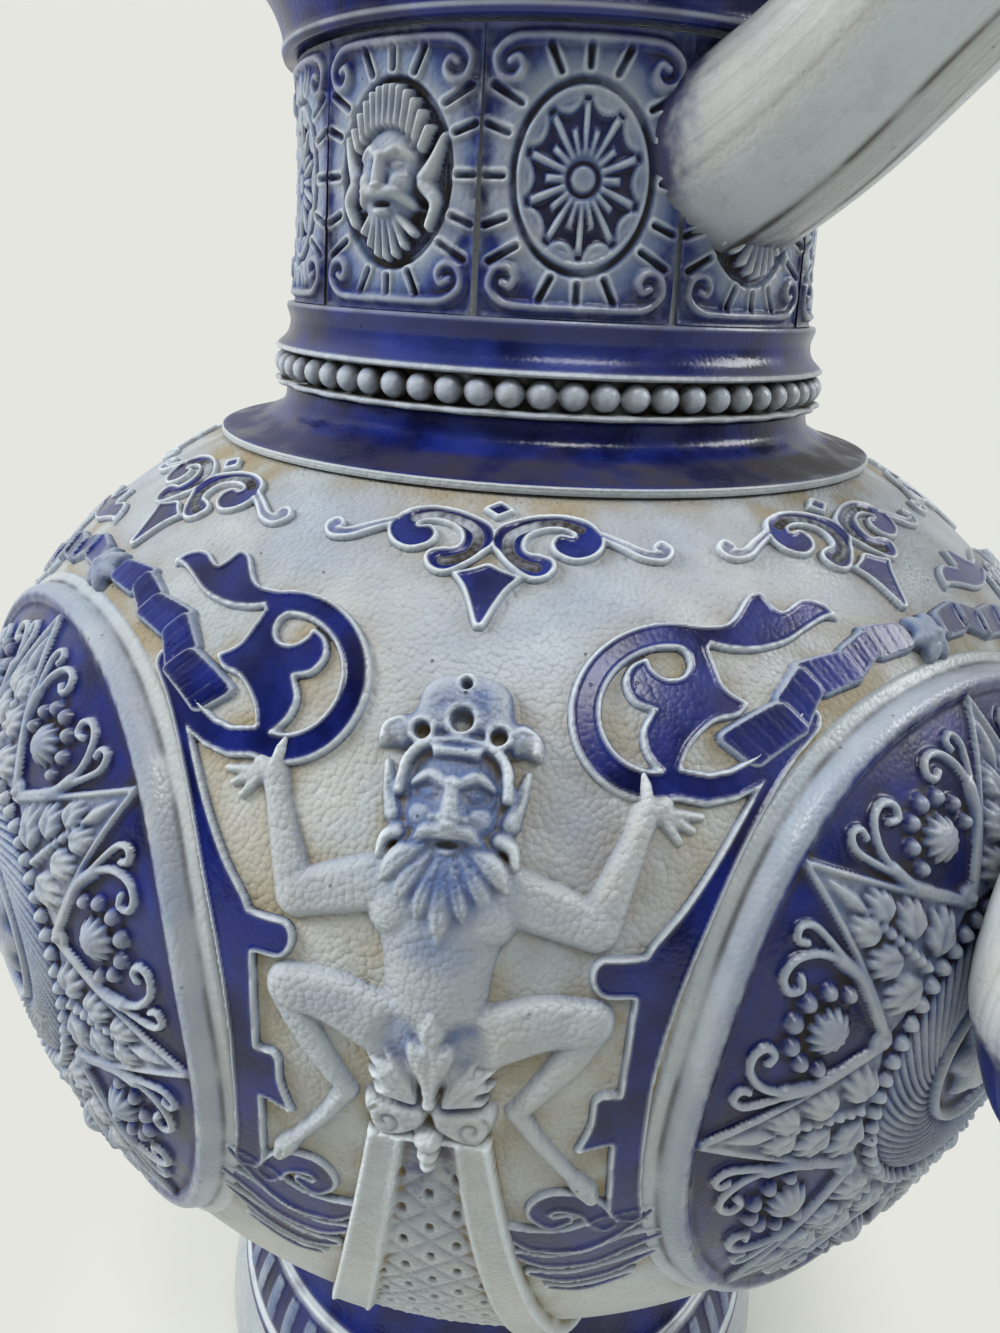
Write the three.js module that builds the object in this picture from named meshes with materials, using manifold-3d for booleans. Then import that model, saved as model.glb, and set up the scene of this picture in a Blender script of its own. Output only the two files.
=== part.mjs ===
// Salt-glazed stoneware jug: thrown body, neck and foot, pulled handle and press-moulded reliefs.
// Millimetres, Z up, standing face at Z = 0, handle on +X.
import * as THREE from 'three';
import { mergeVertices } from 'three/addons/utils/BufferGeometryUtils.js';
import Module from 'manifold-3d';

const wasm = await Module();
wasm.setup();

// Belly: a superellipse, longer below its widest line than above it
const BELLY_RADIUS = 100;
const BELLY_RISE = 72.5;
const BELLY_DROP = 102.5;
const BELLY_FULLNESS = 2.13;
const BELLY_WALL = 7;
const SHOULDER_RADIUS = 57;
const STEM_JOINT_RADIUS = 51.5;

// Foot and floor slab
const FOOT_HEIGHT = 66;
const FOOT_RIM_RADIUS = 66.9;
const FOOT_RIM_HEIGHT = 18;
const FOOT_BAND_RADIUS = 57.3;
const FOOT_BAND_HEIGHT = 36.2;
const FOOT_WAIST_RADIUS = 50;
const FOOT_WALL = 8;
const SLAB_THICKNESS = 9;
const TONGUES = 56;
const TONGUE_SHARE = 0.62;
const TONGUE_HEIGHT = 0.8;

// Shoulder ring, neck and rim, each stepped from the radius of the neck's base
const SHOULDER_RING_HEIGHT = 8;
const NECK_BASE_RADIUS = 47.6;
const NECK_BASE_HEIGHT = 13;
const NECK_WALL = 4.3;
const NECK_LEDGE = 2.4;
const PANEL_HEIGHT = 34.6;
const PANEL_INSET = 4.2;
const PANEL_TAPER = 1.6;
const RIM_HEIGHT = 22;
const RIM_STEP = 3.4;
const RIM_FLARE = 8.2;
const PANEL_FLOOR_BOTTOM = NECK_BASE_RADIUS - PANEL_INSET;
const PANEL_FLOOR_TOP = PANEL_FLOOR_BOTTOM - PANEL_TAPER;
const BORE_RADIUS = PANEL_FLOOR_TOP - NECK_WALL;
const RIM_FOOT_RADIUS = PANEL_FLOOR_TOP + RIM_STEP;
const RIM_RADIUS = RIM_FOOT_RADIUS + RIM_FLARE;

// Bead string in the groove of the neck
const BEAD_COUNT = 66;
const BEAD_BULGE = 2.5;
const BEAD_GROOVE_HEIGHT = 4.6;
const BEAD_GROOVE_DEPTH = 2.2;
const BEAD_LIP = 0.9;

// Handle: a strap in the XZ plane, round outside and narrow inside
const HANDLE_WIDTH = 30;
const HANDLE_THICKNESS = 21;
const HANDLE_ROOT_FLARE = 1.22;
const HANDLE_REACH = 139;
const HANDLE_CROWN = 17.75;
const HANDLE_TAIL_DROP = 20;
const TAIL_ROLL_RADIUS = 8;

// Reliefs on the belly, four of each around it
const SECTORS = 4;
const MEDALLION_RADIUS = 53;
const MEDALLION_RIM = 6;
const MEDALLION_DROP = 5;
const MEDALLION_RAYS = 8;
const MEDALLION_SIDES = 24;
const MEDALLION_RIDGE = 2.2;
const RIM_BAND_HEIGHT = 1.5;
const RAY_SLOPE = 0.38;
const RAY_SHARPNESS = 2.8;
const PEARL_RING_RADIUS = 24;
const PEARL_RADIUS = 1.3;
const GADROON_CREST = 16.8;
const GADROON_INNER = 13;
const STEM_WIDTH = 3.4;
const SCROLL_RADIUS = 10.8;
const SCROLL_BAND = 3;
const KNOB_RADIUS = 2.2;
const ORNAMENT_HEIGHT = 20.5;
const ORNAMENT_SPAN = 45;
const CROWN_GAP = 7;
const PEDESTAL_TOP_WIDTH = 14;
const PEDESTAL_LENGTH = 84;
const PEDESTAL_FLARE = 13;
const RIBBON_WIDTH = 4.6;
const PANELS = 10;
const OVAL_WIDTH = 17;
const OVAL_HEIGHT = 21.5;
const OVAL_SIDES = 12;
const ROSETTE_PETALS = 10;
const ROSETTE_BOSS = 2.4;

// Between the pearl ring and the rim: outwards from the ring and sideways, as shares of that width
const RAY_SPRAY = [[0.15, 0], [0.26, -0.14], [0.52, -0.07], [0.74, 0], [0.52, 0.07], [0.26, 0.14]];
const LYRE_ARM = [
  [0.18, 0.04], [0.38, 0.21], [0.63, 0.32], [0.75, 0.21], [0.83, 0.22], [0.78, 0.36], [0.61, 0.39], [0.335, 0.265], [0.135, 0.09],
];
const FRUIT_OUT = 0.45;
const FRUIT_RADIUS = 0.135;
const BERRY_INNER = 0.17;
const BERRY_OUTER = 0.24;
const BERRY_SPAN = 0.2;

// Relief heights above the surface that carries them
const PLATE = 1.2;
const LOW_RELIEF = 1.8;
const HIGH_RELIEF = 2.6;
const BOSS_RELIEF = 3.4;

// Seat gap between pieces, and facets
const SEAT = 0.3;
const CLEARANCE = 0.8;
const TURN_STEPS = 32;
const BELLY_ROWS = 9;
const INNER_ROWS = 4;
const TRACE_STEPS = 400;
const MERGE_DISTANCE = 1e-4;
const BACK_CAMBER = 0.4;
const SWAP_ROUNDS = 60;
const QUARTER = Math.PI / 2;
const SECTOR_TURN = (2 * Math.PI) / SECTORS;

const GLAZE = { grey: 0xb4b5ae, blue: 0x27357f, wash: 0x7f8cb0, plain: 0x8d8d88 };

// Stacking heights, worked out from the sizes above
const superReach = (radius, reach) =>
  reach * (1 - (radius / BELLY_RADIUS) ** BELLY_FULLNESS) ** (1 / BELLY_FULLNESS);
const bellyCentre = FOOT_HEIGHT + SEAT + superReach(STEM_JOINT_RADIUS, BELLY_DROP);
const shoulderZ = bellyCentre + superReach(SHOULDER_RADIUS, BELLY_RISE);
const ringZ = shoulderZ + SEAT;
const neckZ = ringZ + SHOULDER_RING_HEIGHT + SEAT;
const panelZ = neckZ + NECK_BASE_HEIGHT;
const rimZ = panelZ + PANEL_HEIGHT + 2 * SEAT;
const rimTopZ = rimZ + RIM_HEIGHT;

// Solids
function solid(geometry) {
  const bare = geometry.clone();
  bare.deleteAttribute('normal');
  bare.deleteAttribute('uv');
  const merged = mergeVertices(bare, MERGE_DISTANCE);
  const corners = merged.index.array;
  const kept = [];
  for (let i = 0; i < corners.length; i += 3) {
    const [a, b, c] = [corners[i], corners[i + 1], corners[i + 2]];
    if (a !== b && b !== c && c !== a) kept.push(a, b, c);
  }
  const vertProperties = Float32Array.from(merged.attributes.position.array);
  return new wasm.Manifold(new wasm.Mesh({ numProp: 3, vertProperties, triVerts: Uint32Array.from(kept) }));
}

function geometryOf(body) {
  const { vertProperties, triVerts } = body.getMesh();
  const geometry = new THREE.BufferGeometry();
  geometry.setAttribute('position', new THREE.BufferAttribute(Float32Array.from(vertProperties), 3));
  geometry.setIndex(new THREE.BufferAttribute(Uint32Array.from(triVerts), 1));
  const flat = geometry.toNonIndexed();
  flat.computeVertexNormals();
  return flat;
}

// A revolve about Z. The outline runs up the outside and back down the inside.
function revolve(outline, steps = TURN_STEPS) {
  const points = outline.map(([r, z]) => new THREE.Vector2(r, z));
  points.push(points[0].clone());
  return solid(new THREE.LatheGeometry(points, steps).rotateX(QUARTER));
}

// A filled revolve, from the axis out to an outline that runs upwards
function fill(outline) {
  const low = outline[0][1];
  const high = outline[outline.length - 1][1];
  return revolve([[0, low], ...outline, [0, high]]);
}

// The belly's half-outline by arc length from its widest line
function traceBelly() {
  const line = [];
  const sweep = (sign, reach, end) => {
    const limit = Math.asin(Math.min((end / reach) ** (BELLY_FULLNESS / 2), 1));
    for (let i = sign > 0 ? 1 : 0; i <= TRACE_STEPS; i++) {
      const turn = (limit * i) / TRACE_STEPS;
      const r = BELLY_RADIUS * Math.cos(turn) ** (2 / BELLY_FULLNESS);
      line.push({ r, z: bellyCentre + sign * reach * Math.sin(turn) ** (2 / BELLY_FULLNESS) });
    }
  };
  sweep(-1, BELLY_DROP, superReach(STEM_JOINT_RADIUS, BELLY_DROP));
  line.reverse();
  sweep(1, BELLY_RISE, superReach(SHOULDER_RADIUS, BELLY_RISE));
  let along = 0;
  line.forEach((point, i) => {
    if (i) along += Math.hypot(point.r - line[i - 1].r, point.z - line[i - 1].z);
    point.along = along;
  });
  const middle = line[TRACE_STEPS].along;
  line.forEach((point) => { point.along -= middle; });
  return line;
}

const bellyLine = traceBelly();
const lowAlong = bellyLine[0].along;
const topAlong = bellyLine[bellyLine.length - 1].along;

// A surface of revolution that reliefs sit on: point() maps (turn, along, lift) into space
function surfaceFrom(line, rows) {
  const first = line[0].along;
  const last = line[line.length - 1].along;
  const at = (along) => {
    let k = 1;
    while (k < line.length - 1 && line[k].along < along) k += 1;
    const [a, b] = [line[k - 1], line[k]];
    const share = (along - a.along) / (b.along - a.along);
    const span = Math.hypot(b.r - a.r, b.z - a.z);
    return {
      r: a.r + share * (b.r - a.r),
      z: a.z + share * (b.z - a.z),
      outR: (b.z - a.z) / span,
      outZ: (a.r - b.r) / span,
    };
  };
  const edge = (lift) => Array.from({ length: rows + 1 }, (_, i) => {
    const p = at(first + ((last - first) * i) / rows);
    return [p.r + lift * p.outR, p.z + lift * p.outZ];
  });
  const point = (turn, along, lift) => {
    const p = at(along);
    const r = p.r + lift * p.outR;
    return [r * Math.cos(turn), r * Math.sin(turn), p.z + lift * p.outZ];
  };
  return { at, edge, point, core: (lift) => fill(edge(lift)) };
}

const bellySurface = surfaceFrom(bellyLine, BELLY_ROWS);
const panelSurface = surfaceFrom([
  { r: PANEL_FLOOR_BOTTOM, z: panelZ, along: 0 },
  { r: PANEL_FLOOR_TOP, z: panelZ + PANEL_HEIGHT, along: PANEL_HEIGHT },
], 1);

// Twice the area of a triangle of plane points, positive when it runs anticlockwise
const turning = (p, q, r) => (q[0] - p[0]) * (r[1] - p[1]) - (q[1] - p[1]) * (r[0] - p[0]);

// True when d lies inside the circle through the anticlockwise triangle a, b, c
function encircles(a, b, c, d) {
  const row = (p) => [p[0] - d[0], p[1] - d[1], (p[0] - d[0]) ** 2 + (p[1] - d[1]) ** 2];
  const [u, v, w] = [row(a), row(b), row(c)];
  const det = u[0] * (v[1] * w[2] - v[2] * w[1]) - u[1] * (v[0] * w[2] - v[2] * w[0])
    + u[2] * (v[0] * w[1] - v[1] * w[0]);
  return det > MERGE_DISTANCE;
}

// Swaps shared edges until no triangle is longer than it needs to be, so that the facets follow the curve
function shorten(triangles, points) {
  for (let round = 0; round < SWAP_ROUNDS; round++) {
    const owners = new Map();
    triangles.forEach((triangle, t) => triangle.forEach((from, k) => {
      owners.set(`${from}>${triangle[(k + 1) % 3]}`, [t, triangle[(k + 2) % 3]]);
    }));
    const used = new Set();
    for (const [key, [t, far]] of owners) {
      const [from, to] = key.split('>').map(Number);
      const across = owners.get(`${to}>${from}`);
      if (!across || used.has(t) || used.has(across[0])) continue;
      const [a, b, c, d] = [points[from], points[to], points[far], points[across[1]]];
      if (turning(c, d, b) > 0 && turning(d, c, a) > 0 && encircles(a, b, c, d)) {
        triangles[t] = [far, across[1], to];
        triangles[across[0]] = [across[1], far, from];
        used.add(t).add(across[0]);
      }
    }
    if (!used.size) return;
  }
}

// A relief: nested loops of points, x to the right and y up as seen from outside, each at its own height.
// Slopes run from each loop to the loops inside it. The back follows the outline and its own nested rings.
function relief(surface, turn, outer) {
  const positions = [];
  const corners = [];
  const flat = (points) => points.map(([x, y]) => new THREE.Vector2(x, y));
  const place = (points, lift) => points.map(([x, y]) => {
    positions.push(...surface.point(turn + x / surface.at(y).r, y, lift));
    return positions.length / 3 - 1;
  });
  const region = (loops, ids, outward) => {
    const points = loops.flat();
    const vertices = ids.flat();
    const [edge, ...holes] = loops.map(flat);
    const triangles = THREE.ShapeUtils.triangulateShape(edge, holes).map(([i, j, k]) =>
      (turning(points[i], points[j], points[k]) > 0 ? [i, j, k] : [i, k, j]));
    shorten(triangles, points);
    for (const [i, j, k] of triangles) {
      const triangle = outward ? [i, j, k] : [i, k, j];
      corners.push(...triangle.map((corner) => vertices[corner]));
    }
  };
  const face = (loop, ids) => {
    const inside = loop.inside ?? [];
    const innerIds = inside.map((inner) => place(inner.points, SEAT + inner.height));
    region([loop.points, ...inside.map((inner) => inner.points)], [ids, ...innerIds], true);
    inside.forEach((inner, i) => face(inner, innerIds[i]));
  };
  const back = (rings, ids) => {
    const [ring, inner] = rings;
    const innerIds = inner ? [place(inner, SEAT + BACK_CAMBER)] : [];
    region(inner ? [ring, inner] : [ring], [ids, ...innerIds], false);
    if (inner) back(rings.slice(1), innerIds[0]);
  };
  const rim = place(outer.points, SEAT + outer.height);
  const base = place(outer.points, SEAT + BACK_CAMBER);
  const anticlockwise = THREE.ShapeUtils.area(flat(outer.points)) > 0;
  rim.forEach((here, i) => {
    const next = (i + 1) % rim.length;
    const wall = [base[i], base[next], rim[next], base[i], rim[next], here];
    corners.push(...(anticlockwise ? wall : wall.reverse()));
  });
  face(outer, rim);
  back([outer.points, ...(outer.backRings ?? [])], base);
  const geometry = new THREE.BufferGeometry();
  geometry.setAttribute('position', new THREE.Float32BufferAttribute(positions, 3));
  geometry.setIndex(corners);
  return solid(geometry);
}

// Outlines
const flip = (points) => points.map(([x, y]) => [-x, y]);
const mirrored = (half) => [...half, ...flip(half).reverse().filter(([x]) => x !== 0)];

function oval(x, y, halfWidth, halfHeight, sides) {
  return Array.from({ length: sides }, (_, i) => {
    const angle = (2 * Math.PI * i) / sides;
    return [x + halfWidth * Math.cos(angle), y + halfHeight * Math.sin(angle)];
  });
}
const disc = (x, y, radius, sides) => oval(x, y, radius, radius, sides);

// Points of an arc about (x, y), angles in turns from +x
function arc(x, y, radius, from, to, steps) {
  return Array.from({ length: steps + 1 }, (_, i) => {
    const angle = 2 * Math.PI * (from + ((to - from) * i) / steps);
    return [x + radius * Math.cos(angle), y + radius * Math.sin(angle)];
  });
}

// The thrown body
function makeSlab() {
  const radius = FOOT_RIM_RADIUS - FOOT_WALL - SEAT;
  return fill([[radius, 0], [radius, SLAB_THICKNESS]]);
}

// Upright tongues that stand out from the sloping band of the foot
function makeTongues() {
  const bandDrop = FOOT_BAND_HEIGHT - FOOT_RIM_HEIGHT;
  const bandStep = FOOT_RIM_RADIUS - FOOT_BAND_RADIUS;
  const half = (Math.PI * TONGUE_SHARE) / TONGUES;
  const ends = [
    [FOOT_RIM_RADIUS - bandStep * 0.55, FOOT_RIM_HEIGHT + bandDrop * 0.32],
    [FOOT_RIM_RADIUS - bandStep * 0.89, FOOT_RIM_HEIGHT + bandDrop * 0.84],
  ];
  const tongues = [];
  for (let i = 0; i < TONGUES; i++) {
    const corners = [];
    for (const [r, z] of ends) {
      for (const side of [-half, half]) {
        const angle = (2 * Math.PI * i) / TONGUES + side;
        for (const reach of [r - 2 * TONGUE_HEIGHT, r + TONGUE_HEIGHT]) {
          corners.push([reach * Math.cos(angle), reach * Math.sin(angle), z]);
        }
      }
    }
    tongues.push(wasm.Manifold.hull(corners));
  }
  return wasm.Manifold.union(tongues);
}

function makeFoot() {
  const bandDrop = FOOT_BAND_HEIGHT - FOOT_RIM_HEIGHT;
  const bandStep = FOOT_RIM_RADIUS - FOOT_BAND_RADIUS;
  const waistZ = (FOOT_HEIGHT + FOOT_BAND_HEIGHT) / 2;
  const slabBore = FOOT_RIM_RADIUS - FOOT_WALL;
  return revolve([
    [FOOT_RIM_RADIUS - 2, 0],
    [FOOT_RIM_RADIUS, FOOT_RIM_HEIGHT * 0.16],
    [FOOT_RIM_RADIUS - bandStep * 0.04, FOOT_RIM_HEIGHT * 0.55],
    [FOOT_RIM_RADIUS - bandStep * 0.4, FOOT_RIM_HEIGHT],
    [FOOT_RIM_RADIUS - bandStep * 0.62, FOOT_RIM_HEIGHT + bandDrop * 0.45],
    [FOOT_BAND_RADIUS, FOOT_BAND_HEIGHT],
    [(FOOT_BAND_RADIUS + FOOT_WAIST_RADIUS) / 2, FOOT_BAND_HEIGHT + (waistZ - FOOT_BAND_HEIGHT) * 0.3],
    [FOOT_WAIST_RADIUS, waistZ],
    [STEM_JOINT_RADIUS, FOOT_HEIGHT],
    [STEM_JOINT_RADIUS - FOOT_WALL, FOOT_HEIGHT],
    [FOOT_WAIST_RADIUS - FOOT_WALL, waistZ],
    [slabBore - FOOT_WALL * 0.6, SLAB_THICKNESS + SEAT],
    [slabBore, SLAB_THICKNESS + SEAT],
    [slabBore, 0],
  ]).add(makeTongues());
}

function makeBelly() {
  const inner = surfaceFrom(bellyLine, INNER_ROWS).edge(-BELLY_WALL);
  const outer = bellySurface.edge(0);
  inner[0][1] = outer[0][1];
  inner[INNER_ROWS][1] = outer[BELLY_ROWS][1];
  return revolve([...outer, ...inner.reverse()]);
}

function makeShoulderRing() {
  const step = SHOULDER_RADIUS - NECK_BASE_RADIUS;
  return revolve([
    [SHOULDER_RADIUS + 0.6, ringZ],
    [SHOULDER_RADIUS + 0.4, ringZ + SHOULDER_RING_HEIGHT * 0.12],
    [NECK_BASE_RADIUS + step * 0.2, ringZ + SHOULDER_RING_HEIGHT * 0.64],
    [NECK_BASE_RADIUS - 1.2, ringZ + SHOULDER_RING_HEIGHT * 0.86],
    [NECK_BASE_RADIUS - 1.4, ringZ + SHOULDER_RING_HEIGHT],
    [BORE_RADIUS, ringZ + SHOULDER_RING_HEIGHT],
    [SHOULDER_RADIUS - BELLY_WALL * 1.4, ringZ],
  ]);
}

const beadLow = neckZ + BEAD_LIP;
const beadHigh = beadLow + BEAD_GROOVE_HEIGHT;
const grooveRadius = NECK_BASE_RADIUS - BEAD_GROOVE_DEPTH;

const neckOutline = [
  [NECK_BASE_RADIUS, neckZ],
  [NECK_BASE_RADIUS, beadLow],
  [grooveRadius, beadLow],
  [grooveRadius, beadHigh],
  [NECK_BASE_RADIUS, beadHigh],
  [NECK_BASE_RADIUS, beadHigh + BEAD_LIP],
  [NECK_BASE_RADIUS - NECK_LEDGE * 0.8, beadHigh + (panelZ - beadHigh) * 0.5],
  [PANEL_FLOOR_BOTTOM + NECK_LEDGE, panelZ - BEAD_LIP],
  [PANEL_FLOOR_BOTTOM + NECK_LEDGE, panelZ - SEAT],
  [PANEL_FLOOR_BOTTOM, panelZ - SEAT],
  [PANEL_FLOOR_TOP, panelZ + PANEL_HEIGHT + SEAT],
];

const makeNeck = () =>
  revolve([...neckOutline, [BORE_RADIUS, panelZ + PANEL_HEIGHT + SEAT], [BORE_RADIUS, neckZ]]);

const rimOutline = [
  [RIM_FOOT_RADIUS, rimZ],
  [RIM_FOOT_RADIUS, rimZ + RIM_HEIGHT * 0.1],
  [RIM_FOOT_RADIUS + RIM_FLARE * 0.24, rimZ + RIM_HEIGHT * 0.35],
  [RIM_FOOT_RADIUS + RIM_FLARE * 0.76, rimZ + RIM_HEIGHT * 0.6],
  [RIM_RADIUS, rimZ + RIM_HEIGHT * 0.75],
  [RIM_RADIUS, rimZ + RIM_HEIGHT * 0.86],
  [RIM_RADIUS - RIM_FLARE * 0.25, rimTopZ],
];

const makeRim = () => revolve([
  ...rimOutline,
  [RIM_RADIUS - RIM_FLARE * 0.75, rimTopZ],
  [BORE_RADIUS + RIM_FLARE * 0.5, rimZ + RIM_HEIGHT * 0.76],
  [BORE_RADIUS, rimZ + RIM_HEIGHT * 0.42],
  [BORE_RADIUS, rimZ],
]);

// Bead string: one strip whose face swells and sinks once for each bead
function makeBeads() {
  const STATIONS = 2;
  const back = grooveRadius + SEAT;
  const [low, high] = [beadLow + SEAT, beadHigh - SEAT];
  const middle = (low + high) / 2;
  const steps = BEAD_COUNT * STATIONS;
  const positions = [];
  const corners = [];
  for (let i = 0; i < steps; i++) {
    const swell = i % STATIONS === 0 ? 0.35 : 1;
    const reach = (high - low) / 2;
    const section = [
      [back, low],
      [back + BEAD_BULGE * swell, middle - reach * 0.6],
      [back + BEAD_BULGE * swell, middle + reach * 0.6],
      [back, high],
    ];
    const angle = (2 * Math.PI * i) / steps;
    section.forEach(([r, z]) => positions.push(r * Math.cos(angle), r * Math.sin(angle), z));
    for (let k = 0; k < section.length; k++) {
      const here = i * section.length + k;
      const up = i * section.length + ((k + 1) % section.length);
      const next = ((i + 1) % steps) * section.length + k;
      const nextUp = ((i + 1) % steps) * section.length + ((k + 1) % section.length);
      corners.push(here, next, nextUp, here, nextUp, up);
    }
  }
  const geometry = new THREE.BufferGeometry();
  geometry.setAttribute('position', new THREE.Float32BufferAttribute(positions, 3));
  geometry.setIndex(corners);
  return solid(geometry);
}

// Handle: its centre line rises from the neck panel, loops out and comes down on the belly
const rootZ = panelZ + PANEL_HEIGHT * 0.67;
const tailAlong = HANDLE_TAIL_DROP;
const tailSeat = bellySurface.at(tailAlong);
const crownZ = rootZ + HANDLE_CROWN + HANDLE_THICKNESS / 2;
const outZ = (crownZ + tailSeat.z) / 2 + HANDLE_THICKNESS * 0.7;
const tailOut = tailSeat.r + HANDLE_THICKNESS / 2;
const handleLine = new THREE.CatmullRomCurve3([
  [PANEL_FLOOR_BOTTOM - HANDLE_THICKNESS * 0.3, rootZ - HANDLE_THICKNESS * 0.16],
  [PANEL_FLOOR_BOTTOM + HANDLE_THICKNESS * 0.42, rootZ + HANDLE_THICKNESS * 0.22],
  [(PANEL_FLOOR_BOTTOM + HANDLE_REACH) / 2 - HANDLE_THICKNESS * 0.5, crownZ - HANDLE_THICKNESS * 0.32],
  [(PANEL_FLOOR_BOTTOM + HANDLE_REACH) / 2 + HANDLE_THICKNESS * 0.75, crownZ - HANDLE_THICKNESS * 0.1],
  [HANDLE_REACH - HANDLE_THICKNESS * 0.35, (crownZ + outZ) / 2 + HANDLE_THICKNESS * 0.35],
  [HANDLE_REACH, outZ],
  [HANDLE_REACH - HANDLE_THICKNESS * 0.5, (outZ + tailSeat.z) / 2],
  [tailOut + HANDLE_THICKNESS * 0.2, tailSeat.z + HANDLE_THICKNESS * 0.7],
  [tailOut + HANDLE_THICKNESS * 0.04, tailSeat.z - HANDLE_THICKNESS * 0.25],
  [tailOut + HANDLE_THICKNESS * 0.26, tailSeat.z - HANDLE_THICKNESS * 0.85],
].map(([r, z]) => new THREE.Vector3(r, 0, z)), false, 'centripetal');

// Half of the strap's section: across it, and out from the narrow flat on its inner side
const D_SECTION = [[0.25, -0.47], [0.78, -0.28], [1, 0.06], [0.84, 0.34], [0.34, 0.49]];

function makeHandle(grow) {
  const STEPS = 18;
  const ring = mirrored(D_SECTION);
  const positions = [];
  const corners = [];
  for (let i = 0; i <= STEPS; i++) {
    const share = i / STEPS;
    const centre = handleLine.getPointAt(share);
    const along = handleLine.getTangentAt(share);
    const out = new THREE.Vector3(-along.z, 0, along.x);
    const flare = 1 + (HANDLE_ROOT_FLARE - 1) * Math.max(0, 1 - share / 0.2) ** 2;
    const halfWidth = (HANDLE_WIDTH / 2) * flare + grow;
    const depth = HANDLE_THICKNESS * flare + 2 * grow;
    ring.forEach(([across, up]) => {
      const p = centre.clone().addScaledVector(out, up * depth);
      positions.push(p.x, across * halfWidth, p.z);
    });
  }
  const n = ring.length;
  for (let i = 0; i < STEPS; i++) {
    for (let k = 0; k < n; k++) {
      const [a, b] = [i * n + k, i * n + ((k + 1) % n)];
      corners.push(a, b, b + n, a, b + n, a + n);
    }
  }
  for (let k = 1; k < n - 1; k++) {
    corners.push(0, k + 1, k);
    corners.push(STEPS * n, STEPS * n + k, STEPS * n + k + 1);
  }
  const geometry = new THREE.BufferGeometry();
  geometry.setAttribute('position', new THREE.Float32BufferAttribute(positions, 3));
  geometry.setIndex(corners);
  const roll = new THREE.CylinderGeometry(TAIL_ROLL_RADIUS + grow, TAIL_ROLL_RADIUS + grow,
    HANDLE_WIDTH * 0.86 + 2 * grow, 14);
  const end = handleLine.getPointAt(1);
  roll.translate(end.x + TAIL_ROLL_RADIUS * 0.6, 0, end.z + TAIL_ROLL_RADIUS * 0.1);
  return solid(geometry).add(solid(roll));
}

// The handle ends on the plates of the panel and the medallion that it covers
function seatHandle(handle) {
  const plateTop = PLATE + 2 * SEAT;
  const belly = fill(bellySurface.edge(plateTop));
  const panels = fill(panelSurface.edge(plateTop));
  const neck = fill(neckOutline.map(([r, z]) => [r + SEAT, z]));
  const rim = fill(rimOutline.map(([r, z]) => [r + SEAT, z - SEAT]));
  return [belly, panels, neck, rim].reduce((left, taken) => left.subtract(taken), handle);
}

// Medallion: rim, eight rays, lyre frames with fruit between them, pearl ring, flutes and a plain leaf boss
const medallionInner = MEDALLION_RADIUS - MEDALLION_RIM;
const polar = (radius, turn) =>
  [radius * Math.cos(2 * Math.PI * turn), radius * Math.sin(2 * Math.PI * turn) - MEDALLION_DROP];
const ringLoop = (radius, sides) => disc(0, -MEDALLION_DROP, radius, sides);

const starWidth = medallionInner - PEARL_RING_RADIUS;
const inStar = (points) => points.map(([out, side]) => [PEARL_RING_RADIUS + out * starWidth, side * starWidth]);

// Points given outwards and sideways from an axis of the medallion
const onAxis = (points, turn) => points.map(([out, side]) => [
  out * Math.cos(turn) - side * Math.sin(turn),
  out * Math.sin(turn) + side * Math.cos(turn) - MEDALLION_DROP,
]);

// A ray drawn in from its edge by an inset
function rayLoop(inset) {
  const foot = PEARL_RING_RADIUS - CLEARANCE + inset;
  const tip = medallionInner - CLEARANCE - RAY_SHARPNESS * inset;
  const half = RAY_SLOPE * (tip - foot);
  return [[foot, -half], [tip, 0], [foot, half], [PEARL_RING_RADIUS + 1.5 * CLEARANCE + inset, 0]];
}

// Rings from outside to inside, each given as radius, sides and height
function nestedRings(rings, innermost = []) {
  return rings.reduceRight((inside, [radius, sides, height]) =>
    [{ points: ringLoop(radius, sides), height, inside }], innermost);
}

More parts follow.
